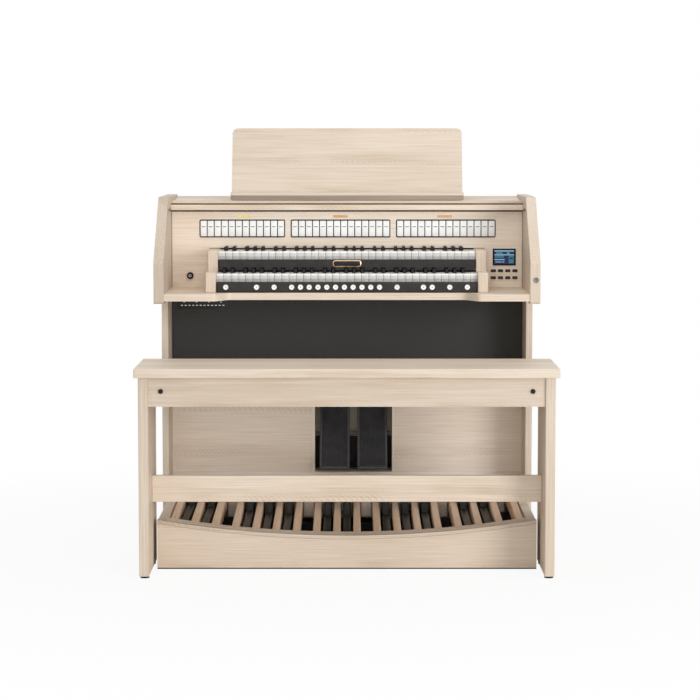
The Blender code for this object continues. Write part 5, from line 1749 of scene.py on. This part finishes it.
@dataclass
class Controls:
    """The display with its menu buttons, the power button and the lock."""

    display_middle: tuple[float, float] = (0.526, 0.9544)
    display_size: tuple[float, float] = (0.0768, 0.056)
    display_front: float = 0.2370
    border: float = 0.0045
    recess: float = 0.0012
    plate_front: float = 0.2573
    button_pitch: tuple[float, float] = (0.0241, 0.0234)
    button_corner: float = 0.0028
    button_edge: float = 0.0012
    columns: int = 4
    rows: int = 2

    # Bright and dark fields of the screen: left, foot, right and head in hundredths
    FIELDS = (
        (2, 89, 98, 98, "pale"),
        (10, 76, 42, 81, "pale"),
        (63, 75, 76, 82, "pale"),
        (2, 62, 98, 70, "pale"),
        (3, 45, 48, 61, "mid"),
        (2, 28, 52, 36, "pale"),
        (6, 12, 38, 18, "pale"),
        (42, 11, 50, 19, "pale"),
        (72, 6, 97, 60, "mid"),
        (76, 36, 94, 46, "dark"),
    )

    def build_display(self) -> None:
        """Shape the display's black frame and the lit screen with its fields."""
        x, z = self.display_middle
        half_x, half_z = self.display_size[0] / 2, self.display_size[1] / 2
        casing = rounded_plate(
            "display_frame",
            (x - half_x, self.display_front, z - half_z),
            (x + half_x, self.plate_front, z + half_z),
            0.0012,
            0.0004,
        )
        with editing(casing):
            select_faces(casing, faces_front)
            bpy.ops.mesh.inset(thickness=self.border)
            bpy.ops.mesh.extrude_region_move(TRANSFORM_OT_translate={"value": (0, self.recess, 0)})
        low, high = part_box("control_panel")
        plate = rounded_plate(
            "control_plate", (low.x, self.plate_front, low.z), (high.x, high.y, high.z), 0.002, 0.0004
        )
        frame_piece = joined("display_frame", [casing, plate])
        finish_piece(frame_piece, BLACK_ABS, "console", "black_key_plastic", "control_panel")
        left, foot = x - half_x + self.border, z - half_z + self.border
        width, height = 2 * (half_x - self.border), 2 * (half_z - self.border)
        floor = self.display_front + self.recess
        kinds = {"dark": LCD_DARK, "mid": LCD_MID, "pale": LCD_PALE}
        fields: dict[str, list[Piece]] = {kind: [] for kind in kinds}
        for number, (a, b, c, d, kind) in enumerate(((0, 0, 100, 100, "dark"), *self.FIELDS)):
            front = floor - SKIN * (1 + min(number, 1) + (kind == "dark" and number > 0))
            field = add_block(
                "field",
                (left + width * a / 100, front, foot + height * b / 100),
                (left + width * c / 100, floor + SKIN / 2, foot + height * d / 100),
            )
            ease_edges(field, SKIN / 4, segments=1)
            fields[kind].append(field)
        for kind, finish in kinds.items():
            screen = joined(f"display_{kind}_fields", fields[kind])
            finish_piece(screen, finish, "console", "black_key_plastic")

    def button(self, name: str) -> Piece:
        """Shape a menu button where the moving one is: round corners and a soft crown.

        Args:
            name: The piece's name.

        Returns:
            The button in its place.
        """
        low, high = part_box("menu_button")
        return rounded_plate(name, tuple(low), tuple(high), self.button_corner, self.button_edge)

    def mark(self) -> Piece:
        """Print the pale mark of the moving menu button.

        Returns:
            The mark, just off the button's face.
        """
        low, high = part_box("menu_button")
        middle = (low + high) / 2
        bar = rounded_plate(
            "menu_mark",
            (middle.x - 0.0042, low.y - SKIN / 4, middle.z - 0.0013),
            (middle.x + 0.0042, low.y + SKIN, middle.z + 0.0013),
            0.0012,
            SKIN / 4,
            segments=3,
        )
        return bar

    def build_buttons(self) -> None:
        """Make the eight menu buttons, the first of which moves."""
        moving = self.button("menu_button_cap")
        moving_mark = self.mark()
        steps = [(c, r) for r in range(self.rows) for c in range(self.columns)][1:]
        caps, marks = [], []
        for column, row in steps:
            step = (column * self.button_pitch[0], 0, -row * self.button_pitch[1])
            caps.append(copied(moving, "menu_cap", step))
            marks.append(copied(moving_mark, "menu_mark", step))
        finish_piece(joined("menu_buttons", caps), BLACK_ABS, "console", "black_key_plastic")
        finish_piece(joined("menu_button_marks", marks), TAB_INK, "console", "black_key_plastic")
        finish_piece(moving, BLACK_ABS, "menu_button", "black_key_plastic", "menu_button")
        finish_piece(moving_mark, TAB_INK, "menu_button", "black_key_plastic")

    def build_power(self) -> None:
        """Shape the power button: a dished black cap with a pale ring let into it."""
        low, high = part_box("power_button")
        middle = (low + high) / 2
        radius = (high.x - low.x) / 2
        cap = add_disc("power_cap", (middle.x, middle.z), radius, low.y, high.y, sides=48)
        with editing(cap):
            select_faces(cap, faces_front)
            bpy.ops.mesh.inset(thickness=0.0025)
            bpy.ops.mesh.inset(thickness=0.0020)
            bpy.ops.transform.translate(value=(0, 0.0012, 0))
        ease_edges(cap, 0.0006)
        finish_piece(cap, BLACK_ABS, "power_button", "black_key_plastic", "power_button")
        ring = add_disc("power_ring", (middle.x, middle.z), 0.0042, low.y + 0.0008, low.y + 0.0016)
        with editing(ring):
            select_faces(ring, faces_front)
            bpy.ops.mesh.inset(thickness=0.0016)
            bpy.ops.transform.translate(value=(0, 0.0005, 0))
        ease_edges(ring, SKIN, segments=1)
        finish_piece(ring, TAB_PLASTIC, "power_button", "black_key_plastic")

    def build_lock(self) -> None:
        """Shape the lock: a plated disc with a ring turned into it and the key's slot."""
        low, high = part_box("lock_cylinder")
        middle = (low + high) / 2
        lock = add_disc("lock_face", (middle.x, middle.z), (high.x - low.x) / 2, low.y, high.y, sides=48)
        with editing(lock):
            select_faces(lock, faces_front)
            bpy.ops.mesh.inset(thickness=0.0018)
            bpy.ops.mesh.inset(thickness=0.0005)
            bpy.ops.transform.translate(value=(0, 0.0005, 0))
        ease_edges(lock, 0.0003)
        slot = add_block(
            "slot",
            (middle.x - 0.0016, low.y - 0.001, middle.z - 0.0050),
            (middle.x + 0.0016, low.y + 0.005, middle.z + 0.0050),
        )
        apply_modifier(lock, "BOOLEAN", object=slot, operation="DIFFERENCE", solver="EXACT")
        bpy.data.objects.remove(slot)
        finish_piece(lock, WORN_NICKEL, "lock_cylinder", "steel", "lock_cylinder")

    def build(self) -> None:
        """Make all the controls."""
        self.build_display()
        self.build_buttons()
        self.build_power()
        self.build_lock()


@dataclass
class Keyslip:
    """The dark strip in front of the lower manual with its row of thumb pistons."""

    front: float = -0.0460
    middle: float = -0.0085
    pitch: float = 0.0284
    slots: tuple[float, ...] = (
        -13.5, -10, -8, -6, -5, -4, -3, -2, -1, 1, 2, 3, 4, 6, 9, 10, 12, 14,
    )
    play: float = 0.0003
    root: float = 0.004
    dish: float = 0.0005
    rim: float = 0.0020
    mark_size: tuple[float, float] = (0.0040, 0.0018)
    badge_middle: tuple[float, float] = (0.0, 0.0)
    badge_size: tuple[float, float] = (0.093, 0.022)

    def piston(self, name: str, rear: float) -> Piece:
        """Shape the piston of the middle slot: a white cap with a rim and a shallow dish.

        Args:
            name: The piece's name.
            rear: The y of its rear end.

        Returns:
            The piston in its place.
        """
        low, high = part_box("thumb_piston")
        radius = (high.x - low.x) / 2
        piston = add_disc(name, (self.middle, (low.z + high.z) / 2), radius, low.y, rear, sides=40)
        with editing(piston):
            select_faces(piston, faces_front)
            bpy.ops.mesh.inset(thickness=self.rim)
            bpy.ops.mesh.inset(thickness=self.dish)
            bpy.ops.transform.translate(value=(0, self.dish, 0))
        ease_edges(piston, self.dish / 2)
        return piston

    def build_slip(self) -> None:
        """Shape the strip and bore it for the pistons."""
        low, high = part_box("lower_keyslip")
        strip = add_block("keyslip_strip", (low.x, self.front, low.z), tuple(high))
        ease_edges(strip, 0.0012, segments=3)
        piston_low, piston_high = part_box("thumb_piston")
        radius = (piston_high.x - piston_low.x) / 2 + self.play
        height = (piston_low.z + piston_high.z) / 2
        bore = add_disc("bore", (self.middle, height), radius, low.y - 0.01, high.y + 0.01, sides=40)
        bores = [bore]
        for slot in self.slots:
            bores.append(copied(bore, "bore", (slot * self.pitch, 0, 0)))
        tool = joined("bores", bores)
        apply_modifier(strip, "BOOLEAN", object=tool, operation="DIFFERENCE", solver="EXACT")
        bpy.data.objects.remove(tool)
        finish_piece(strip, BLACK_RAIL, "console", "black_rail", "lower_keyslip")

    def build_pistons(self) -> None:
        """Make the nineteen pistons, of which the middle one moves."""
        moving_low, moving_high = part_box("thumb_piston")
        moving = self.piston("thumb_piston_cap", moving_high.y)
        finish_piece(moving, PISTON_WHITE, "thumb_piston", "tab_plastic", "thumb_piston")
        pattern = self.piston("piston", self.front + self.root)
        fixed = [copied(pattern, "piston", (slot * self.pitch, 0, 0)) for slot in self.slots]
        bpy.data.objects.remove(pattern)
        finish_piece(joined("thumb_pistons", fixed), PISTON_WHITE, "console", "tab_plastic")
        height = (moving_low.z + moving_high.z) / 2
        floor = moving_low.y + self.dish
        mark = rounded_plate(
            "thumb_piston_mark",
            (self.middle - self.mark_size[0] / 2, floor - SKIN / 2, height - self.mark_size[1] / 2),
            (self.middle + self.mark_size[0] / 2, floor + SKIN, height + self.mark_size[1] / 2),
            self.mark_size[1] * 0.4,
            SKIN / 4,
            segments=2,
        )
        marks = [copied(mark, "mark", (slot * self.pitch, 0, 0)) for slot in self.slots]
        finish_piece(joined("thumb_pistons_marks", marks), TAB_INK, "console", "tab_plastic")
        finish_piece(mark, TAB_INK, "thumb_piston", "tab_plastic")

    def build_badge(self) -> None:
        """Lay the blank badge, a dark plate in a brass border, on the upper rail."""
        low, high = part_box("upper_keyslip")
        x = self.badge_middle[0]
        z = (low.z + high.z) / 2
        half_x, half_z = self.badge_size[0] / 2, self.badge_size[1] / 2
        border = rounded_plate(
            "blank_badge_border",
            (x - half_x, low.y - SKIN * 3, z - half_z),
            (x + half_x, low.y + SKIN, z + half_z),
            0.0080,
            SKIN,
        )
        with editing(border):
            select_faces(border, faces_front)
            bpy.ops.mesh.inset(thickness=0.0026)
            bpy.ops.transform.translate(value=(0, SKIN, 0))
        finish_piece(border, BRASS, "console", "steel")
        field = rounded_plate(
            "blank_badge_field",
            (x - half_x + 0.0028, low.y - SKIN * 3, z - half_z + 0.0028),
            (x + half_x - 0.0028, low.y, z + half_z - 0.0028),
            0.0056,
            SKIN,
        )
        finish_piece(field, BLACK_ABS, "console", "black_rail")

    def build(self) -> None:
        """Make the strip, its pistons and the badge."""
        self.build_slip()
        self.build_pistons()
        self.build_badge()


@dataclass
class Connections:
    """The jack panel under the keybed and the mains inlet in the back."""

    jacks: int = 3
    jack_pitch: float = 0.040
    jack_radius: float = 0.005
    jack_depth: float = 0.012
    jack_rise: float = 0.0070
    collar_radius: float = 0.0070
    pin_pitch: float = 0.0070
    pin_drop: float = 0.0030
    socket_depth: float = 0.0140
    wall: float = 0.0025
    flange: float = 0.006

    # Rows of print on the jack panel: how many, how far apart, how high and each mark's size
    PRINT = (
        (4, 0.040, 0.0078, (0.0032, 0.0032)),
        (12, 0.0122, -0.0030, (0.0068, 0.0022)),
    )

    def build_jack_panel(self) -> None:
        """Shape the jack panel: a black box with bored sockets in plated collars."""
        low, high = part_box("jack_panel")
        middle = (low + high) / 2
        panel = add_block("jack_panel_box", tuple(low), tuple(high))
        ease_edges(panel, 0.0015, segments=3)
        collars, bores = [], []
        for index in range(self.jacks):
            place = (middle.x + (index - (self.jacks - 1) / 2) * self.jack_pitch, middle.z + self.jack_rise)
            bores.append(add_disc("bore", place, self.jack_radius, low.y - 0.01, low.y + self.jack_depth))
            collar = add_disc("collar", place, self.collar_radius, low.y + SKIN, low.y + 0.002)
            with editing(collar):
                select_faces(collar, faces_front)
                bpy.ops.mesh.inset(thickness=self.collar_radius - self.jack_radius)
                bpy.ops.mesh.extrude_region_move(TRANSFORM_OT_translate={"value": (0, 0.0015, 0)})
            collars.append(collar)
        tool = joined("bores", bores)
        apply_modifier(panel, "BOOLEAN", object=tool, operation="DIFFERENCE", solver="EXACT")
        bpy.data.objects.remove(tool)
        finish_piece(panel, BLACK_ABS, "console", "black_rail", "jack_panel")
        finish_piece(joined("jack_collars", collars), BLACK_STEEL, "console", "steel")
        marks = []
        for count, spread, rise, (width, height) in self.PRINT:
            mark = rounded_plate(
                "mark",
                (middle.x - width / 2, low.y - SKIN / 2, middle.z + rise - height / 2),
                (middle.x + width / 2, low.y + SKIN, middle.z + rise + height / 2),
                height * 0.4,
                SKIN / 4,
                segments=2,
            )
            for index in range(count):
                marks.append(copied(mark, "mark", ((index - (count - 1) / 2) * spread, 0, 0)))
            bpy.data.objects.remove(mark)
        finish_piece(joined("jack_panel_print", marks), TAB_PLASTIC, "console", "black_rail")

    def build_inlet(self) -> None:
        """Shape the mains inlet: a flanged body that opens backward on three blades."""
        low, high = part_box("mains_inlet")
        middle = (low + high) / 2
        half_x = (high.x - low.x) / 2 - self.flange
        half_z = (high.z - low.z) / 2 - self.flange
        body = add_block(
            "mains_inlet_body",
            (middle.x - half_x, low.y, middle.z - half_z),
            (middle.x + half_x, high.y, middle.z + half_z),
        )
        with editing(body):
            select_faces(body, lambda f: f.normal.y > 0.9)
            bpy.ops.mesh.inset(thickness=self.wall)
            bpy.ops.mesh.extrude_region_move(TRANSFORM_OT_translate={"value": (0, -self.socket_depth, 0)})
        ease_edges(body, 0.0008)
        finish_piece(body, CONTACT_GREY, "console", "black_key_plastic", "mains_inlet")
        blade = add_block(
            "blade",
            (middle.x - 0.001, high.y - self.socket_depth - 0.001, middle.z - 0.002),
            (middle.x + 0.001, high.y - 0.003, middle.z + 0.002),
        )
        ease_edges(blade, 0.0004)
        blades = [
            blade,
            copied(blade, "blade", (-self.pin_pitch, 0, -self.pin_drop)),
            copied(blade, "blade", (self.pin_pitch, 0, -self.pin_drop)),
        ]
        finish_piece(joined("mains_inlet_blades", blades), NICKEL, "console", "steel")

    def build(self) -> None:
        """Make both."""
        self.build_jack_panel()
        self.build_inlet()


@dataclass
class BenchBolts:
    """The two dark socket-head bolts in the bench's apron."""

    key_width: float = 0.0028
    key_depth: float = 0.0030

    def build(self) -> None:
        """Shape each bolt: a domed head with a hexagon socket."""
        for side in ("left", "right"):
            low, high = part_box(f"{side}_bench_bolt")
            middle = (low + high) / 2
            place = (middle.x, middle.z)
            bolt = add_disc(f"{side}_bolt", place, (high.x - low.x) / 2, low.y, high.y, sides=40)
            with editing(bolt):
                select_faces(bolt, faces_front)
                bpy.ops.mesh.inset(thickness=0.0015)
                bpy.ops.transform.translate(value=(0, 0.0003, 0))
            ease_edges(bolt, 0.0006)
            rear = low.y + self.key_depth
            key = add_disc("key", place, self.key_width, low.y - 0.005, rear, sides=6)
            apply_modifier(bolt, "BOOLEAN", object=key, operation="DIFFERENCE", solver="EXACT")
            bpy.data.objects.remove(key)
            finish_piece(bolt, BLACK_STEEL, "bench", "steel", f"{side}_bench_bolt")


@dataclass
class CaseTrim:
    """Small things on the case: the desk's ledge, felts and strips of painted shade, strips of painted highlight, the
    roof's edge band and inner boards.
    """

    ledge_lip: float = 0.0035
    ledge_foot: float = 1.1435
    ledge_corner: float = 0.006
    band_top: float = 1.1605
    fascia_half: float = 0.5867
    manual_half: float = 0.4227
    window_left: float = -0.4605
    window_right: float = 0.4610
    cloth: float = 0.0012
    slip_front: float = -0.0460
    rail_end: float = 0.0035

    def build_ledge(self) -> None:
        """Shape the music desk's ledge: a shelf with a round-cornered lip before the roof's edge."""
        low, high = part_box("desk_ledge")
        rear = low.y + self.ledge_lip
        side = [
            (high.y, low.z),
            (high.y, high.z),
            (low.y, high.z),
            (low.y, self.ledge_foot),
            (rear, self.ledge_foot),
            (rear, low.z),
        ]
        ledge = add_outline("music_desk_ledge", side, low.x, high.x)
        with editing(ledge):
            select_edges(ledge, lambda a, b: runs_back(a, b) and a.z < self.ledge_foot + SKIN)
            bpy.ops.mesh.bevel(offset=self.ledge_corner, segments=5)
            slice_piece((0, 0, self.band_top), (0, 0, 1))
        ease_edges(ledge, 0.0006)
        finish_piece(ledge, ASH_DESK, "music_desk", "ash_laminate", "desk_ledge")
        # The lip's front below the band line takes the umber of painted shade under the ledge
        part_finish(ledge, SHADE_BAND, lambda f: f.center.z < self.band_top and f.center.y < rear - SKIN)

    def strip(self, name: str, finish: Finish, slot: str, low: Place, high: Place,
              body: str = "console") -> None:
        """Lay one thin strip with eased edges.

        Args:
            name: The piece's name.
            finish: What it is finished in.
            slot: The record's material slot that it belongs to.
            low: Its lowest corner.
            high: Its highest corner.
            body: The body that it rides on.
        """
        strip = add_block(name, low, high)
        ease_edges(strip, SKIN, segments=1)
        finish_piece(strip, finish, body, slot)

    def build_felts(self) -> None:
        """Lay the felts that paint the shadow lines round the roll-top, at the fascia's joints and over the upper
        manual's window, the roof's edge band, and the lip behind the upper manual.
        """
        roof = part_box("roof_board")[0].y
        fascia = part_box("stop_fascia")[0].y
        half, wide = self.fascia_half, self.manual_half
        self.strip(
            "roll_top_upper_shadow_felt", UMBER_SHADE_FELT, "black_rail",
            (-half, roof - self.cloth, 1.1286), (half, roof - SKIN, 1.1348),
        )
        self.strip(
            "roof_front_band", ROOF_BAND, "ash_laminate",
            (-half, roof - 0.0025, 1.1350), (half, roof - SKIN, 1.1430),
        )
        self.strip(
            "roll_top_lower_shadow_felt", BROWN_SHADE_FELT, "black_rail",
            (-half, fascia - self.cloth, 1.1060), (half, fascia - SKIN, 1.1095),
        )
        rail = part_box("roll_top")[0]
        self.strip(
            "lead_rail_shadow_felt", BROWN_SHADE_FELT, "black_rail",
            (-half, rail.y - SKIN * 3, rail.z + SKIN), (half, rail.y - SKIN / 2, 1.1122), "roll_top",
        )
        # The joints beside the fascia: a dark line that is partly the joint itself and partly painted shade of its gap
        for name, left in (("left", -half), ("right", half - 0.0015)):
            self.strip(
                f"fascia_{name}_joint", UMBER_SHADE_FELT, "black_rail",
                (left, fascia - self.cloth, 0.8536), (left + 0.0015, fascia - SKIN, 1.1055),
            )
        self.strip(
            "upper_manual_lip", ASH_FASCIA, "ash_laminate",
            (self.window_left, fascia - self.cloth, 0.9850), (self.window_right, fascia - SKIN, 0.9990),
        )
        self.strip(
            "upper_manual_shadow_felt", DARK_FELT_AND_SHADE, "black_rail",
            (-wide, fascia - self.cloth, 0.9808), (wide, fascia - SKIN, 0.9848),
        )
        for name, left, right in (
            ("window_left_shadow_felt", self.window_left, -wide - SKIN),
            ("window_right_shadow_felt", wide + SKIN, self.window_right),
        ):
            self.strip(
                name, UMBER_SHADE_FELT, "black_rail",
                (left, fascia - self.cloth, 0.9832), (right, fascia - SKIN, 0.9848),
            )

    def build_rail_ends(self) -> None:
        """Lay the dark felts that paint the shade in the gaps beside both rails and under the keyslip."""
        for manual in ("lower", "upper"):
            low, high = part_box(f"{manual}_keyslip")
            front = low.y if manual == "upper" else self.slip_front
            for name, left in (("left", low.x), ("right", high.x - self.rail_end)):
                self.strip(
                    f"{manual}_rail_{name}_felt", DARK_FELT_AND_SHADE, "black_rail",
                    (left, front - self.cloth / 2, low.z), (left + self.rail_end, front + SKIN, high.z),
                )
        low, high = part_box("lower_keyslip")
        self.strip(
            "keyslip_foot_shadow_felt", DARK_FELT_AND_SHADE, "black_rail",
            (low.x, self.slip_front - self.cloth / 2, low.z), (high.x, self.slip_front + SKIN, low.z + 0.0030),
        )

    def build_recess(self) -> None:
        """Line the swell pedals' recess: pale strips of painted highlight on its side edges, an umber strip of painted
        shade at its foot, and a board at its back, which the shade turns brown.
        """
        low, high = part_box("expression_box")
        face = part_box("knee_panel")[0].y
        wall = 0.0125
        for name, left, right in (
            ("recess_left_band", low.x + 0.0038, low.x + 0.0105),
            ("recess_right_band", high.x - 0.0105, high.x - 0.0050),
        ):
            self.strip(
                name, HIGHLIGHT_BAND, "ash_laminate",
                (left, face - 0.0006, low.z + 0.002), (right, face - SKIN / 2, high.z - wall),
            )
        self.strip(
            "recess_floor_band", SHADE_BAND, "ash_laminate",
            (low.x + wall, low.y - self.cloth, low.z + 0.0005), (high.x - wall, low.y - SKIN, low.z + 0.0045),
        )
        rear = high.y - wall
        self.strip(
            "recess_back_board", RECESS_BACK, "ash_inner_board",
            (low.x + wall, rear - self.cloth, 0.3210), (high.x - wall, rear, high.z - wall),
        )

    def build_glides(self) -> None:
        """Shape the four rubber glides that the bench's legs stand on."""
        glides = []
        for side in ("left", "right"):
            low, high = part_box(f"{side}_bench_leg")
            for y in (low.y + 0.030, high.y - 0.030):
                bpy.ops.object.select_all(action="DESELECT")
                bpy.ops.mesh.primitive_cylinder_add(
                    vertices=40,
                    radius=0.0138,
                    depth=0.0088,
                    location=((low.x + high.x) / 2, y, 0.0044),
                )
                glide = settled("glide")
                with editing(glide):
                    select_faces(glide, lambda f: f.normal.z < -0.9)
                    bpy.ops.mesh.inset(thickness=0.0020)
                    bpy.ops.transform.translate(value=(0, 0, 0.0004))
                ease_edges(glide, 0.0004)
                glides.append(glide)
        finish_piece(joined("bench_glides", glides), GLIDE_RUBBER, "bench", "pedal_rubber")

    def build(self) -> None:
        """Make all the trim."""
        self.build_ledge()
        self.build_felts()
        self.build_rail_ends()
        self.build_recess()
        self.build_glides()


@dataclass
class Studio:
    """The room round the organ: a pale floor, soft lamps and the camera."""

    camera_place: Place = (0.0097, -7.7676, 1.35154)
    camera_pitch: float = 5.0644
    camera_lens: float = 123.06
    floor_size: float = 60.0
    room_light: float = 0.51

    def build_floor(self) -> None:
        """Lay the floor, which is white to the camera and keeps the organ's shadow."""
        bpy.ops.object.select_all(action="DESELECT")
        bpy.ops.mesh.primitive_plane_add(size=self.floor_size)
        floor = settled("studio_floor")
        floor.data.materials.append(StudioWhite("studio_floor_white").material())

    def build_lamps(self) -> None:
        """Hang the soft lamps: one at the player's right, one behind the camera, one overhead."""
        lamps = (
            ("lamp_front", (0.0, -14.0, 1.6), 3.6, 212.0),
            ("lamp_side", (7.5, -9.0, 2.2), 4.5, 558.0),
            ("lamp_top", (0.0, -1.2, 3.8), 2.4, 38.0),
        )
        for name, place, size, power in lamps:
            bpy.ops.object.light_add(type="AREA", location=place)
            lamp = bpy.context.object
            lamp.name = name
            lamp.data.size = size
            lamp.data.energy = power
            aim = Vector((0, 0, 0.6)) - Vector(place)
            lamp.rotation_euler = aim.to_track_quat("-Z", "Y").to_euler()

    def build_world(self) -> None:
        """Light the room from all round and show the camera plain white behind the organ."""
        world = bpy.data.worlds.new("studio_world")
        bpy.context.scene.world = world
        world.use_nodes = True
        world.node_tree.nodes.clear()
        rays = add_node(world, "ShaderNodeLightPath").outputs
        mirrored = add_node(world, "ShaderNodeMath", {
            0: rays["Is Glossy Ray"], 1: rays["Is Transmission Ray"],
        }, operation="ADD")
        seen = add_node(world, "ShaderNodeMath", {
            0: rays["Is Camera Ray"], 1: mirrored.outputs[0],
        }, operation="ADD", use_clamp=True)
        level = add_node(world, "ShaderNodeMapRange", {
            "Value": seen.outputs[0], "To Min": self.room_light, "To Max": 1.0,
        })
        shine = add_node(world, "ShaderNodeBackground", {
            "Color": linear("FFFFFF"), "Strength": level.outputs["Result"],
        })
        add_node(world, "ShaderNodeOutputWorld", {"Surface": shine.outputs[0]})

    def build_camera(self) -> None:
        """Set up the camera where the photograph was taken from."""
        bpy.ops.object.camera_add(
            location=self.camera_place, rotation=(math.radians(90 - self.camera_pitch), 0, 0)
        )
        camera = bpy.context.object
        camera.name = "photo_camera"
        camera.data.lens = self.camera_lens
        bpy.context.scene.camera = camera
        bpy.context.scene.view_settings.view_transform = "Standard"

    def build(self) -> None:
        """Set up the whole studio."""
        self.build_floor()
        self.build_lamps()
        self.build_world()
        self.build_camera()


@dataclass(frozen=True)
class StudioWhite(Finish):
    """White paper floor that keeps the organ's shadow near it and bleaches out further off."""

    near: float = 1.0
    far: float = 2.4
    least: float = 0.90

    def shader(self, material: bpy.types.Material) -> bpy.types.NodeSocket:
        """Build the nodes of the paper.

        Args:
            material: The material that they join.

        Returns:
            The shader's output.
        """
        place = add_node(material, "ShaderNodeTexCoord").outputs["Object"]
        grit = add_node(material, "ShaderNodeTexNoise", {"Vector": place, "Scale": 300.0})
        relief = add_node(material, "ShaderNodeBump", {
            "Height": grit.outputs["Fac"], "Strength": 0.05, "Distance": 0.0005,
        })
        paper = add_node(material, "ShaderNodeBsdfPrincipled", {
            "Base Color": linear("F2F2F2"),
            "Roughness": 0.9,
            "Normal": relief.outputs["Normal"],
        })
        rays = add_node(material, "ShaderNodeLightPath").outputs
        white = add_node(material, "ShaderNodeEmission", {"Color": linear("FFFFFF"), "Strength": 1.0})
        away = add_node(material, "ShaderNodeVectorMath", {0: place}, operation="LENGTH")
        bleach = add_node(material, "ShaderNodeMapRange", {
            "Value": away.outputs["Value"], "From Min": self.near, "From Max": self.far,
            "To Min": self.least, "To Max": 1.0,
        })
        seen = add_node(material, "ShaderNodeMath", {
            0: rays["Is Camera Ray"], 1: bleach.outputs["Result"],
        }, operation="MULTIPLY")
        return add_node(material, "ShaderNodeMixShader", {
            "Fac": seen.outputs[0], 1: paper.outputs[0], 2: white.outputs[0],
        }).outputs[0]


# How many feet long each tab's lowest pipe would be, from the left of a bank
FEET = ("8", "4", "16", "8", "2", "4")
TAB_BANKS = (
    TabBank("left", 12, 4, PALE_FOIL, -0.3480, FEET),
    TabBank("centre", 14, 6, WARM_FOIL, -0.0220, FEET[2:] + FEET[:2]),
    TabBank("right", 14, 9, WARM_FOIL, 0.3264, FEET[1:] + FEET[:1]),
)


def main() -> None:
    """Build the organ's pieces in order and report each one."""
    logging.basicConfig(level=logging.INFO, format="%(name)s %(message)s")
    Studio().build()
    Case(CASE_FINISHES).build()
    for name in ("lower", "upper"):
        manual = Manual(name)
        manual.build()
        if name == "lower":
            manual.build_comb("upper_keyslip")
    Keyslip().build()
    for bank in TAB_BANKS:
        bank.build()
    Controls().build()
    for name in ("left", "right"):
        SwellPedal(name).build()
    pedalboard = Pedalboard()
    pedalboard.build()
    KickTrim(pedalboard).build()
    ToeBoard(pedalboard).build()
    Connections().build()
    CaseTrim().build()
    BenchBolts().build()


if __name__ == "__main__":
    main()
